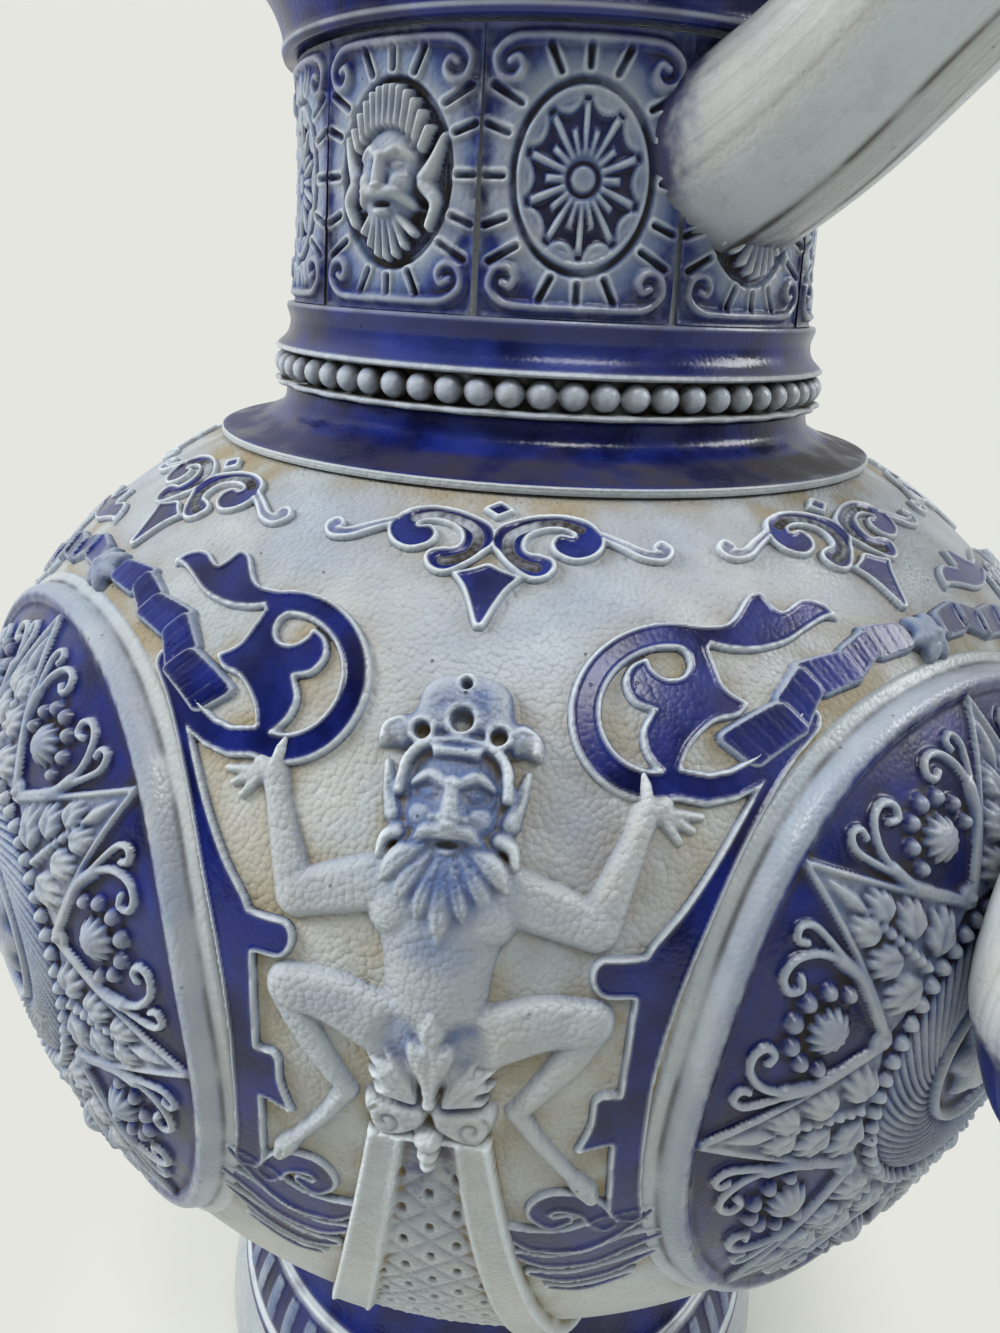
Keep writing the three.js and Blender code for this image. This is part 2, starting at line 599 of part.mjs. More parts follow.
function medallionLoops() {
  const studs = [];
  for (let i = 0; i < MEDALLION_RAYS; i++) {
    const axis = QUARTER + (2 * Math.PI * i) / MEDALLION_RAYS;
    const gap = axis + Math.PI / MEDALLION_RAYS;
    const spray = { points: onAxis(inStar(RAY_SPRAY), axis), height: MEDALLION_RIDGE };
    const floor = { points: onAxis(rayLoop(2 * CLEARANCE), axis), height: PLATE, inside: [spray] };
    const ridge = { points: onAxis(rayLoop(CLEARANCE), axis), height: MEDALLION_RIDGE, inside: [floor] };
    studs.push({ points: onAxis(rayLoop(0), axis), height: PLATE, inside: [ridge] });
    for (const arm of [LYRE_ARM, LYRE_ARM.map(([out, side]) => [out, -side]).reverse()]) {
      studs.push({ points: onAxis(inStar(arm), gap), height: MEDALLION_RIDGE });
    }
    const berries = (reach) => arc(FRUIT_OUT, 0, reach, -BERRY_SPAN, BERRY_SPAN, 3);
    const cluster = [...berries(BERRY_OUTER), ...berries(BERRY_INNER).reverse()];
    studs.push({ points: onAxis(inStar(cluster), gap), height: MEDALLION_RIDGE });
    studs.push({
      points: onAxis(inStar(disc(FRUIT_OUT, 0, FRUIT_RADIUS, 6)), gap),
      height: PLATE,
      inside: [{ points: onAxis(inStar(disc(FRUIT_OUT, 0, FRUIT_RADIUS / 2, 6)), gap), height: HIGH_RELIEF }],
    });
  }
  const middle = nestedRings([
    [PEARL_RING_RADIUS, MEDALLION_SIDES, PLATE],
    [PEARL_RING_RADIUS - PEARL_RADIUS, MEDALLION_SIDES, (PLATE + MEDALLION_RIDGE) / 2],
    [PEARL_RING_RADIUS - 2 * PEARL_RADIUS, MEDALLION_SIDES, PLATE],
    [GADROON_CREST, MEDALLION_SIDES, HIGH_RELIEF],
    [GADROON_INNER, MEDALLION_SIDES, PLATE],
    [GADROON_INNER - PEARL_RADIUS, 16, MEDALLION_RIDGE],
    [GADROON_INNER - 2 * PEARL_RADIUS, 16, PLATE],
    [GADROON_INNER * 0.4, 8, HIGH_RELIEF],
    [GADROON_INNER * 0.12, 8, BOSS_RELIEF],
  ]);
  const [whole] = nestedRings([
    [MEDALLION_RADIUS, MEDALLION_SIDES, RIM_BAND_HEIGHT],
    [medallionInner + 0.37 * MEDALLION_RIM, MEDALLION_SIDES, RIM_BAND_HEIGHT],
    [medallionInner + 0.1 * MEDALLION_RIM, MEDALLION_SIDES, HIGH_RELIEF],
    [medallionInner - 0.05 * MEDALLION_RIM, MEDALLION_SIDES, PLATE],
  ], [...studs, ...middle]);
  whole.backRings = [0.72, 0.43, 0.15].map((share, i) => ringLoop(MEDALLION_RADIUS * share, 18 - 6 * i));
  return whole;
}

const fieldHalf = (SECTOR_TURN / 2) * BELLY_RADIUS - MEDALLION_RADIUS - CLEARANCE - STEM_WIDTH;
const ornamentLow = topAlong - CLEARANCE - ORNAMENT_HEIGHT;
const crownLine = ornamentLow - CROWN_GAP;
const hoofLine = -0.13 * -lowAlong;
const figure = (points) =>
  points.map(([u, v]) => [u * fieldHalf, hoofLine + v * (crownLine - hoofLine)]);

// Right half of the figure with raised arms and bent knees, from crown to apron
const SATYR_HALF = [
  [0.16, 1], [0.28, 0.93], [0.43, 0.85], [0.3, 0.842], [0.405, 0.82], [0.31, 0.715], [0.38, 0.665],
  [0.49, 0.655], [0.69, 0.605], [0.91, 0.71], [0.955, 0.77], [1.06, 0.745], [1.24, 0.752], [1.0, 0.61],
  [0.89, 0.54], [0.78, 0.524], [0.37, 0.56], [0.29, 0.47], [0.32, 0.395], [0.44, 0.425], [0.64, 0.435],
  [0.82, 0.425], [0.905, 0.39], [0.69, 0.285], [0.5, 0.2], [0.85, 0.02], [0.83, 0], [0.54, 0.13],
  [0.4, 0.2], [0.55, 0.3], [0.28, 0.26], [0.1, 0.16],
];
const HEAD_HALF = [[0.12, 0.97], [0.24, 0.92], [0.26, 0.72], [0.16, 0.6]];
const FACE_HALF = [[0.08, 0.86], [0.16, 0.8], [0.12, 0.66]];
const CHEST_HALF = [[0.16, 0.57], [0.24, 0.52], [0.22, 0.38], [0.12, 0.22]];
const THIGH = [[0.36, 0.39], [0.62, 0.41], [0.83, 0.4], [0.66, 0.32], [0.42, 0.31]];

function satyrLoops() {
  const whole = (half) => mirrored(figure(half));
  return {
    points: whole(SATYR_HALF),
    height: LOW_RELIEF,
    inside: [
      { points: whole(HEAD_HALF), height: HIGH_RELIEF,
        inside: [{ points: whole(FACE_HALF), height: BOSS_RELIEF }] },
      { points: whole(CHEST_HALF), height: HIGH_RELIEF },
      { points: figure(THIGH), height: HIGH_RELIEF },
      { points: flip(figure(THIGH)), height: HIGH_RELIEF },
    ],
  };
}

// Pedestal: a tapering pillar that widens downwards, its border raised round a sunk scale panel
const pedestalTop = hoofLine + (crownLine - hoofLine) * 0.16 - CLEARANCE;
const pedestalHalf = (drop) =>
  PEDESTAL_TOP_WIDTH / 2 + PEDESTAL_FLARE * (drop / PEDESTAL_LENGTH) ** 1.5;
function pedestalOutline(share, start) {
  const STEPS = 5;
  const side = Array.from({ length: STEPS + 1 }, (_, i) => {
    const drop = PEDESTAL_LENGTH * (start + ((1 - 2 * start) * i) / STEPS);
    return [pedestalHalf(drop) * share, pedestalTop - drop];
  });
  const [x, y] = side[STEPS];
  return mirrored([...side, [x / 2, y], [0, y]]);
}

function pedestalLoops() {
  const panel = { points: pedestalOutline(0.5, 0.07), height: PLATE };
  const border = { points: pedestalOutline(0.72, 0.035), height: HIGH_RELIEF, inside: [panel] };
  const backRings = [pedestalOutline(0.66, 0.05), pedestalOutline(0.3, 0.1)];
  return { points: pedestalOutline(1, 0), height: LOW_RELIEF, inside: [border], backRings };
}

// Strapwork beside a medallion, drawn to its left as one outline: stem, scroll with leaf end and heart
// leaf, knob, barb and foot leaf. Leaves are in scroll radii from the scroll centre and the stem's foot.
const stemInner = MEDALLION_RADIUS + CLEARANCE;
const stemOuter = stemInner + STEM_WIDTH;
const SCROLL_TURN = 0.36;
const STEM_TOP = 0.335;
const STEM_FOOT = 0.545;
const [scrollX, scrollY] = polar(stemOuter + SCROLL_RADIUS - STEM_WIDTH * 0.7, SCROLL_TURN);
const HEART_LEAF = [
  [0.26, -0.67], [0.41, -0.32], [0.65, 0.14], [0.28, 0.3], [-0.05, 0.24], [-0.37, 0.48], [-0.41, 0.13],
  [-0.22, -0.14], [-0.11, -0.71],
];
const LEAF_END = [
  [0.65, 0.63], [1.3, 0.65], [1.94, 0.72], [2.5, 0.85], [2.04, 1.2], [1.67, 1.07], [1.3, 1.24],
  [0.93, 0.96], [0.56, 1],
];
const FOOT_LEAF = [
  [-0.09, 0.5], [-0.44, 0.69], [-0.61, 0.48], [-0.31, 0.33], [-0.24, 0.06], [-0.51, 0.11],
  [-0.74, -0.17], [-0.52, -0.5], [-0.69, -0.65], [-0.57, -1], [-0.09, -1.31], [0.48, -0.97],
  [0.15, -0.59], [0.43, -0.5], [0.59, -0.22],
];

function strapLoops(side) {
  const barb = 1.2 * KNOB_RADIUS;
  const leaf = (points, x, y) => points.map(([u, v]) => [x + u * SCROLL_RADIUS, y + v * SCROLL_RADIUS]);
  const [footX, footY] = polar(stemOuter + barb, STEM_FOOT + 0.003);
  const outline = [
    ...arc(0, -MEDALLION_DROP, stemInner, STEM_FOOT, STEM_TOP, 7),
    polar(stemOuter, STEM_TOP), polar(stemOuter, STEM_TOP + 0.009),
    ...arc(scrollX, scrollY, SCROLL_RADIUS - SCROLL_BAND, 0.93, 0.8, 2),
    ...leaf(HEART_LEAF, scrollX, scrollY),
    ...arc(scrollX, scrollY, SCROLL_RADIUS - SCROLL_BAND, 0.68, 0.22, 6),
    ...leaf(LEAF_END, scrollX, scrollY),
    ...arc(scrollX, scrollY, SCROLL_RADIUS, 0.2, 0.755, 8),
    polar(stemOuter, SCROLL_TURN + 0.028), polar(stemOuter, 0.426),
    polar(stemOuter + 2 * KNOB_RADIUS, 0.429), polar(stemOuter + 2 * KNOB_RADIUS, 0.441),
    polar(stemOuter, 0.444), polar(stemOuter, 0.478), polar(stemOuter + barb, 0.482),
    polar(stemOuter + barb, 0.502), polar(stemOuter, 0.5), polar(stemOuter, STEM_FOOT - 0.012),
    ...leaf(FOOT_LEAF, footX, footY),
  ];
  return { points: side > 0 ? outline : flip(outline), height: LOW_RELIEF };
}

// Ribbon over a medallion, with a flower boss on its axis
function ribbonLoops() {
  const FOLDS = 7;
  const middle = MEDALLION_RADIUS + CLEARANCE + RIBBON_WIDTH * 0.68;
  const wave = (sign) => Array.from({ length: FOLDS }, (_, i) => {
    const bow = i === (FOLDS - 1) / 2 ? 1.6 : 1;
    const sway = i % 2 ? 0.14 : -0.14;
    return polar(middle + RIBBON_WIDTH * (0.5 * sign * bow + sway), 0.31 - (0.12 * i) / (FOLDS - 1));
  });
  const [x, y] = polar(middle, 0.25);
  return {
    points: [...wave(-1).reverse(), ...wave(1)],
    height: LOW_RELIEF,
    inside: [{ points: disc(x, y, RIBBON_WIDTH * 0.4, 6), height: BOSS_RELIEF }],
  };
}

// Shoulder ornament: paired C-scrolls with curled arms, a lozenge above and a pendant shield
const ORNAMENT_HALF = [
  [0, 1], [0.085, 0.92], [0.025, 0.8], [0.14, 0.9], [0.3, 0.94], [0.46, 0.88], [0.62, 0.73], [0.8, 0.64],
  [0.9, 0.62], [0.96, 0.68], [1, 0.6], [0.93, 0.53], [0.78, 0.56], [0.62, 0.63], [0.55, 0.55],
  [0.43, 0.53], [0.34, 0.62], [0.24, 0.6], [0.36, 0.4], [0.24, 0.31], [0.12, 0.34], [0.17, 0.26],
  [0.09, 0.19], [0.02, 0],
];

function ornamentLoops() {
  const half = ORNAMENT_HALF.map(([u, v]) => [(u * ORNAMENT_SPAN) / 2, ornamentLow + v * ORNAMENT_HEIGHT]);
  return { points: mirrored(half), height: LOW_RELIEF };
}

// Neck panels: a curved tile with an oval frame, holding a rosette or a mask
const panelHalf = (Math.PI / PANELS) * PANEL_FLOOR_TOP - SEAT / 2;
const ovalLoop = (share) =>
  oval(0, PANEL_HEIGHT / 2, (OVAL_WIDTH / 2) * share, (OVAL_HEIGHT / 2) * share, OVAL_SIDES);
const inOval = ([u, v]) => [(u * OVAL_WIDTH) / 2, PANEL_HEIGHT / 2 + (v * OVAL_HEIGHT) / 2];

function rosetteLoops() {
  const star = Array.from({ length: 2 * ROSETTE_PETALS }, (_, i) => {
    const reach = i % 2 ? 0.45 : 0.8;
    const angle = (Math.PI * i) / ROSETTE_PETALS;
    return inOval([reach * Math.cos(angle), reach * Math.sin(angle)]);
  });
  const boss = { points: disc(0, PANEL_HEIGHT / 2, ROSETTE_BOSS, 5), height: HIGH_RELIEF };
  return { points: star, height: LOW_RELIEF, inside: [boss] };
}

// A generic bearded mask with pointed ears
const MASK_HALF = [[0.3, 0.8], [0.6, 0.68], [0.6, 0.36], [0.8, 0.34], [0.62, -0.2], [0.3, -0.8]];
const MASK_FACE_HALF = [[0.26, 0.5], [0.44, 0.1], [0.24, -0.5]];

function maskLoops() {
  const whole = (half) => mirrored(half.map(inOval));
  const face = { points: whole(MASK_FACE_HALF), height: HIGH_RELIEF };
  return { points: whole(MASK_HALF), height: LOW_RELIEF, inside: [face] };
}

function panelLoops(motif) {
  const STEPS = 4;
  const edge = Array.from({ length: STEPS + 1 }, (_, i) => panelHalf * ((2 * i) / STEPS - 1));
  const tile = [...edge.map((x) => [x, 0]), ...edge.map((x) => [-x, PANEL_HEIGHT])];
  const field = { points: ovalLoop(1), height: PLATE, inside: motif ? [motif] : [] };
  const crest = { points: ovalLoop(1.1), height: HIGH_RELIEF, inside: [field] };
  const foot = { points: ovalLoop(1.2), height: PLATE, inside: [crest] };
  return { points: tile, height: PLATE, inside: [foot], backRings: [ovalLoop(1.1), ovalLoop(0.5)] };
}

// Assembly
const jug = new THREE.Group();
jug.name = 'stoneware_jug';

function addPiece(name, body, colour, roughness) {
  const material = new THREE.MeshStandardMaterial({ color: colour, roughness, metalness: 0 });
  const mesh = new THREE.Mesh(geometryOf(body), material);
  mesh.name = name;
  jug.add(mesh);
}

addPiece('base_slab', makeSlab(), GLAZE.plain, 0.7);
addPiece('foot', makeFoot(), GLAZE.blue, 0.3);
addPiece('belly', makeBelly(), GLAZE.grey, 0.45);
addPiece('shoulder_ring', makeShoulderRing(), GLAZE.blue, 0.25);
addPiece('neck', makeNeck(), GLAZE.blue, 0.25);
addPiece('bead_string', makeBeads(), GLAZE.plain, 0.4);
addPiece('rim', makeRim(), GLAZE.blue, 0.25);

// The handle clears the reliefs that it covers down to their plates
const handleSpace = makeHandle(SEAT);
const overPlates = (surface) => handleSpace.subtract(surface.core(SEAT + PLATE));
addPiece('handle', seatHandle(makeHandle(0)), GLAZE.plain, 0.35);

for (let i = 0; i < PANELS; i++) {
  const motif = i % 2 ? rosetteLoops() : maskLoops();
  const tile = relief(panelSurface, (2 * Math.PI * i) / PANELS, panelLoops(i === 0 ? null : motif));
  const name = `${i % 2 ? 'rosette' : 'mask'}_panel_${i + 1}`;
  const byHandle = Math.min(i, PANELS - i) <= 1;
  addPiece(name, byHandle ? tile.subtract(overPlates(panelSurface)) : tile, GLAZE.wash, 0.35);
}

for (let i = 0; i < SECTORS; i++) {
  const turn = SECTOR_TURN * i;
  const figureTurn = turn + SECTOR_TURN / 2;
  const whole = relief(bellySurface, turn, medallionLoops());
  const medallion = i === 0 ? whole.subtract(overPlates(bellySurface)) : whole;
  addPiece(`medallion_${i + 1}`, medallion, GLAZE.wash, 0.35);
  addPiece(`satyr_${i + 1}`, relief(bellySurface, figureTurn, satyrLoops()), GLAZE.grey, 0.45);
  addPiece(`pedestal_${i + 1}`, relief(bellySurface, figureTurn, pedestalLoops()), GLAZE.grey, 0.45);
  for (const [word, side] of [['left', 1], ['right', -1]]) {
    addPiece(`strapwork_${word}_${i + 1}`, relief(bellySurface, turn, strapLoops(side)), GLAZE.blue, 0.25);
  }
  addPiece(`ribbon_${i + 1}`, relief(bellySurface, turn, ribbonLoops()), GLAZE.blue, 0.3);
  addPiece(`shoulder_scroll_${2 * i + 1}`, relief(bellySurface, turn, ornamentLoops()), GLAZE.blue, 0.3);
  addPiece(`shoulder_scroll_${2 * i + 2}`, relief(bellySurface, figureTurn, ornamentLoops()), GLAZE.blue, 0.3);
}

export default jug;
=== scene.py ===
"""Salt-glazed stoneware jug: detailed reliefs, thrown walls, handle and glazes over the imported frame.

Shapes are worked out in millimetres on the jug's own surfaces and turned into metres when a mesh is made.
A relief is a height field over a patch: x to the right and y up the wall, as seen from outside.
"""
import copy
import math

import bpy
import numpy as np
from mathutils import Matrix, Vector


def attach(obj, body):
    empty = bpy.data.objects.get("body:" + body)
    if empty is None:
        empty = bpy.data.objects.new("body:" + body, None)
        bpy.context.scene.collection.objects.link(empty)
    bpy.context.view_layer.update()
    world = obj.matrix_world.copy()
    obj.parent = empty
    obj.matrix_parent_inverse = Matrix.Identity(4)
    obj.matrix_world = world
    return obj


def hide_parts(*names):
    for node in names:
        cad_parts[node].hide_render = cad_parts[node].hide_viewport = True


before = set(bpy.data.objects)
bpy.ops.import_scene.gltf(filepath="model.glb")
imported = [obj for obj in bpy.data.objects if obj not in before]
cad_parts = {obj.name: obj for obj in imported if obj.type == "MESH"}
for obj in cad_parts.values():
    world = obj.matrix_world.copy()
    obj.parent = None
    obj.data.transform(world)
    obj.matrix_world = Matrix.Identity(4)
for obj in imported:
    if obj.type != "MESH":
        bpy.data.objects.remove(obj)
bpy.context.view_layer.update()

MM = 0.001

# Walls of the jug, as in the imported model
BELLY_RADIUS = 100.0
BELLY_RISE = 72.5
BELLY_DROP = 102.5
BELLY_FULLNESS = 2.13
SHOULDER_RADIUS = 57.0
STEM_JOINT_RADIUS = 51.5
FOOT_HEIGHT = 66.0
SEAT = 0.3
RING_HEIGHT = 8.0
NECK_BASE_HEIGHT = 13.0
PANEL_HEIGHT = 34.6
PANEL_FLOOR_BOTTOM = 43.4
PANEL_FLOOR_TOP = 41.8
BORE_RADIUS = 37.5
RIM_HEIGHT = 22.0
SECTORS = 4
PANELS = 10
BEADS = 66

# Relief grids: cell sizes, and how deep their edges run into the wall
FINE = 0.2
MEDIUM = 0.25
SUNK = -0.7
WALL_SLOPE = 2.8
ROUNDNESS = 0.7


# Curves

def curve(points, closed=False, steps=6):
    """A smooth line through the points. A point given twice is a corner."""
    p = np.array(points, float)
    n = len(p)
    out = []
    for i in range(n if closed else n - 1):
        b, c = p[i], p[(i + 1) % n]
        if np.allclose(b, c):
            continue
        a = p[(i - 1) % n] if closed or i > 0 else b
        d = p[(i + 2) % n] if closed or i + 2 < n else c
        if np.allclose(a, b):
            a = b - (c - b) * 0.5
        if np.allclose(c, d):
            d = c + (c - b) * 0.5
        for t in np.arange(steps) / steps:
            out.append(0.5 * (2 * b + (c - a) * t + (2 * a - 5 * b + 4 * c - d) * t**2
                              + (3 * b - a - 3 * c + d) * t**3))
    if not closed:
        out.append(p[-1])
    return np.array(out)


def mirrored(half):
    """A closed outline from its right half, listed from top to bottom."""
    return list(half) + [(-x, y) for x, y in reversed(half) if x != 0]


def arc(x, y, radius, start, end, steps=16):
    """Points of an arc, angles in degrees."""
    angles = np.radians(np.linspace(start, end, steps + 1))
    return [(x + radius * math.cos(a), y + radius * math.sin(a)) for a in angles]


def spiral(x, y, radius, start, turn, end_radius=0.3, steps=24):
    """A curl that starts on its outer radius at the start angle and winds inwards."""
    out = []
    for i in range(steps + 1):
        share = i / steps
        reach = radius + (end_radius - radius) * share
        angle = math.radians(start + turn * share)
        out.append((x + reach * math.cos(angle), y + reach * math.sin(angle)))
    return out


# Surfaces that carry reliefs

def super_reach(radius, reach):
    return reach * (1 - (radius / BELLY_RADIUS) ** BELLY_FULLNESS) ** (1 / BELLY_FULLNESS)


BELLY_CENTRE = FOOT_HEIGHT + SEAT + super_reach(STEM_JOINT_RADIUS, BELLY_DROP)
SHOULDER_Z = BELLY_CENTRE + super_reach(SHOULDER_RADIUS, BELLY_RISE)
RING_Z = SHOULDER_Z + SEAT
NECK_Z = RING_Z + RING_HEIGHT + SEAT
PANEL_Z = NECK_Z + NECK_BASE_HEIGHT
RIM_Z = PANEL_Z + PANEL_HEIGHT + 2 * SEAT


class Surface:
    """A surface of revolution, measured along its outline."""

    def __init__(self, r, z, zero):
        steps = np.hypot(np.diff(r), np.diff(z))
        self.along = np.concatenate([[0], np.cumsum(steps)])
        self.along -= np.interp(zero, z, self.along)
        self.r, self.z = r, z
        slope_r, slope_z = np.gradient(r, self.along), np.gradient(z, self.along)
        size = np.hypot(slope_r, slope_z)
        self.out_r, self.out_z = slope_z / size, -slope_r / size

    def radius(self, along):
        return np.interp(along, self.along, self.r)

    def place(self, turn, along, lift):
        r = np.interp(along, self.along, self.r) + lift * np.interp(along, self.along, self.out_r)
        z = np.interp(along, self.along, self.z) + lift * np.interp(along, self.along, self.out_z)
        return np.stack([r * np.cos(turn), r * np.sin(turn), z], axis=-1)


def trace_belly(steps=400):
    def half(reach, limit):
        turn = np.linspace(0, math.asin((limit / reach) ** (BELLY_FULLNESS / 2)), steps)
        power = 2 / BELLY_FULLNESS
        return BELLY_RADIUS * np.cos(turn) ** power, reach * np.sin(turn) ** power
    low_r, low_z = half(BELLY_DROP, super_reach(STEM_JOINT_RADIUS, BELLY_DROP))
    high_r, high_z = half(BELLY_RISE, super_reach(SHOULDER_RADIUS, BELLY_RISE))
    r = np.concatenate([low_r[::-1], high_r[1:]])
    z = BELLY_CENTRE + np.concatenate([-low_z[::-1], high_z[1:]])
    return Surface(r, z, BELLY_CENTRE)


belly = trace_belly()
panel_wall = Surface(np.array([PANEL_FLOOR_BOTTOM, PANEL_FLOOR_TOP]),
                     np.array([PANEL_Z, PANEL_Z + PANEL_HEIGHT]), PANEL_Z)


# Height fields

class Field:
    """Heights and glaze masks over a grid, how strongly its crests are painted pale, as worn glaze and
    highlight, and how strongly its hollows are painted dark, as dirt and shade.
    """

    def __init__(self, left, right, low, high, step, worn=1.0, hollow_dirt_and_shade=1.0):
        self.step = step
        xs = np.arange(left, right + step / 2, step)
        ys = np.arange(low, high + step / 2, step)
        self.x, self.y = np.meshgrid(xs, ys)
        self.height = np.full(self.x.shape, SUNK)
        self.blue = np.zeros(self.x.shape)
        self.wash = np.zeros(self.x.shape)
        self.dust_and_shade = np.zeros(self.x.shape)
        self.worn, self.hollow_dirt_and_shade = worn, hollow_dirt_and_shade

    def raise_to(self, height):
        self.height = np.maximum(self.height, height)

    def on(self, base, height):
        """Adds a form that stands on a face of the given height."""
        self.raise_to(np.where(height > 0, base + height, SUNK))

    def swell(self, height):
        """Adds a form to whatever lies under it."""
        self.height += np.clip(height, 0, None)

    def cut(self, sd, depth, width=0.5):
        """Lowers the face inside a shape, with soft edges."""
        self.height -= depth * smooth(sd / width)

    def paint(self, mask, channel="blue"):
        setattr(self, channel, np.maximum(getattr(self, channel), mask))

    def spot(self, across, x, y, width, height, amount):
        """A soft patch of wash."""
        self.paint(amount * np.exp(-(((across - x) / width) ** 2 + ((self.y - y) / height) ** 2)), "wash")

    def score(self, x, y, points, depth):
        """A fine line cut into whatever lies under it."""
        self.cut(0.16 - to_line(x, y, points), depth, 0.2)


def smooth(t):
    t = np.clip(t, 0, 1)
    return t * t * (3 - 2 * t)


def to_line(x, y, points):
    """Distance from every grid point to a line."""
    best = np.full(x.shape, np.inf)
    for (ax, ay), (bx, by) in zip(points[:-1], points[1:]):
        dx, dy = bx - ax, by - ay
        share = np.clip(((x - ax) * dx + (y - ay) * dy) / (dx * dx + dy * dy + 1e-12), 0, 1)
        best = np.minimum(best, np.hypot(x - ax - share * dx, y - ay - share * dy))
    return best


def inside(x, y, points):
    """Signed distance to a closed outline, positive inside."""
    points = [tuple(p) for p in points]
    ring = points + points[:1]
    odd = np.zeros(x.shape, bool)
    for (ax, ay), (bx, by) in zip(ring[:-1], ring[1:]):
        if ay == by:
            continue
        crosses = (ay > y) != (by > y)
        odd ^= crosses & (x < (bx - ax) * (y - ay) / (by - ay) + ax)
    return np.where(odd, 1, -1) * to_line(x, y, ring)


def shape(x, y, points):
    """Signed distance to a smooth closed outline, positive inside."""
    return inside(x, y, curve(points, closed=True))


def disc(x, y, cx, cy, rx, ry=None):
    """Roughly the signed distance to an oval, positive inside."""
    ry = rx if ry is None else ry
    return (1 - np.hypot((x - cx) / rx, (y - cy) / ry)) * min(rx, ry)


def limb(x, y, points, radii):
    """Signed distance to a chain of tapering rounds, and the nearest radius."""
    best = np.full(x.shape, -np.inf)
    near = np.ones(x.shape)
    for (ax, ay), (bx, by), ra, rb in zip(points[:-1], points[1:], radii[:-1], radii[1:]):
        dx, dy = bx - ax, by - ay
        share = np.clip(((x - ax) * dx + (y - ay) * dy) / (dx * dx + dy * dy + 1e-12), 0, 1)
        radius = ra + (rb - ra) * share
        sd = radius - np.hypot(x - ax - share * dx, y - ay - share * dy)
        near = np.where(sd > best, radius, near)
        best = np.maximum(best, sd)
    return best, near


def taper(x, y, points, radii, height):
    """Height of a rounded limb, as high as its share of the widest radius."""
    sd, radius = limb(x, y, points, radii)
    share = np.clip(sd / radius, 0, 1)
    top = height * (radius / max(radii)) ** 0.5 * (1 - (1 - share) ** 2) ** ROUNDNESS
    return np.where(sd > 0, top, np.maximum(SUNK, sd * WALL_SLOPE))


def horn(x, y, points, first, last, height):
    """A limb along a smooth line, as wide as given at its two ends."""
    line = curve(points)
    return taper(x, y, line, np.linspace(first, last, len(line)), height)


def flower(x, y, radius, petals, depth, height, core=0.0):
    """A round boss with lobes, and a plain core of the given radius."""
    reach = np.hypot(x, y)
    lobes = np.cos(petals * np.arctan2(y, x)) * (smooth(reach / core) if core else 1)
    top = np.clip(1 - (reach / (radius * (1 - depth + depth * lobes))) ** 2, 0, 1)
    return np.where(reach < radius, height * top ** ROUNDNESS, 0)


def dome(sd, radius, height):
    share = np.clip(sd / radius, 0, 1)
    top = height * (1 - (1 - share) ** 2) ** ROUNDNESS
    return np.where(sd > 0, top, np.maximum(SUNK, sd * WALL_SLOPE))


def slab(sd, height, bevel=0.6):
    """A flat-topped relief with rounded edges."""
    return dome(sd, bevel, height)


def ridge(distance, half, height):
    """A rounded thread along a line."""
    share = np.clip(1 - (distance / half) ** 2, 0, 1)
    return height * share


def channel(field, sd, height, depth, edge=0.55):
    """Cobalt pools inside a raised pale edge."""
    wall = np.clip((sd + edge * 0.5) * WALL_SLOPE, SUNK, height)
    floor = height - depth * smooth((sd - edge * 0.35) / (edge * 0.7))
    crest = height + 0.12 * np.clip(1 - ((sd - edge * 0.1) / (edge * 0.5)) ** 2, 0, 1)
    face = np.where(sd > edge * 0.3, floor, np.minimum(wall, crest))
    field.raise_to(np.where(sd > -edge, face, SUNK))
    field.paint(smooth((sd - edge * 0.35) / (edge * 0.5)))


def soften(values):
    """Takes the steps of the grid off a field."""
    for axis in (0, 1):
        pad = [(1, 1) if k == axis else (0, 0) for k in (0, 1)]
        wide = np.pad(values, pad, mode="edge")
        low = np.take(wide, range(0, values.shape[axis]), axis=axis)
        high = np.take(wide, range(2, values.shape[axis] + 2), axis=axis)
        values = (low + 2 * values + high) / 4
    return values


def blur(values, cells):
    """Three box means, close to a Gaussian."""
    cells = max(1, int(round(cells)))
    out = values
    for _ in range(3):
        for axis in (0, 1):
            pad = [(cells + 1, cells) if k == axis else (0, 0) for k in (0, 1)]
            total = np.cumsum(np.pad(out, pad, mode="edge"), axis=axis)
            span = 2 * cells + 1
            high = np.take(total, range(span, total.shape[axis]), axis=axis)
            low = np.take(total, range(0, total.shape[axis] - span), axis=axis)
            out = (high - low) / span
    return out


# Glazes

PALE = "c6cfd5"
COBALT = "12206a"
COBALT_DEEP = "050a32"
COBALT_THIN = "33407f"
COBALT_BROWN = "2c2a3a"
WASH = "4f6189"
SPECK = "2b2c33"
SKIN_DEPTH = 0.2


def colour(text):
    """A linear colour from the six digits of a screen colour."""
    parts = [int(text[i:i + 2], 16) / 255 for i in (0, 2, 4)]
    return tuple(((c + 0.055) / 1.055) ** 2.4 if c > 0.04045 else c / 12.92 for c in parts) + (1.0,)


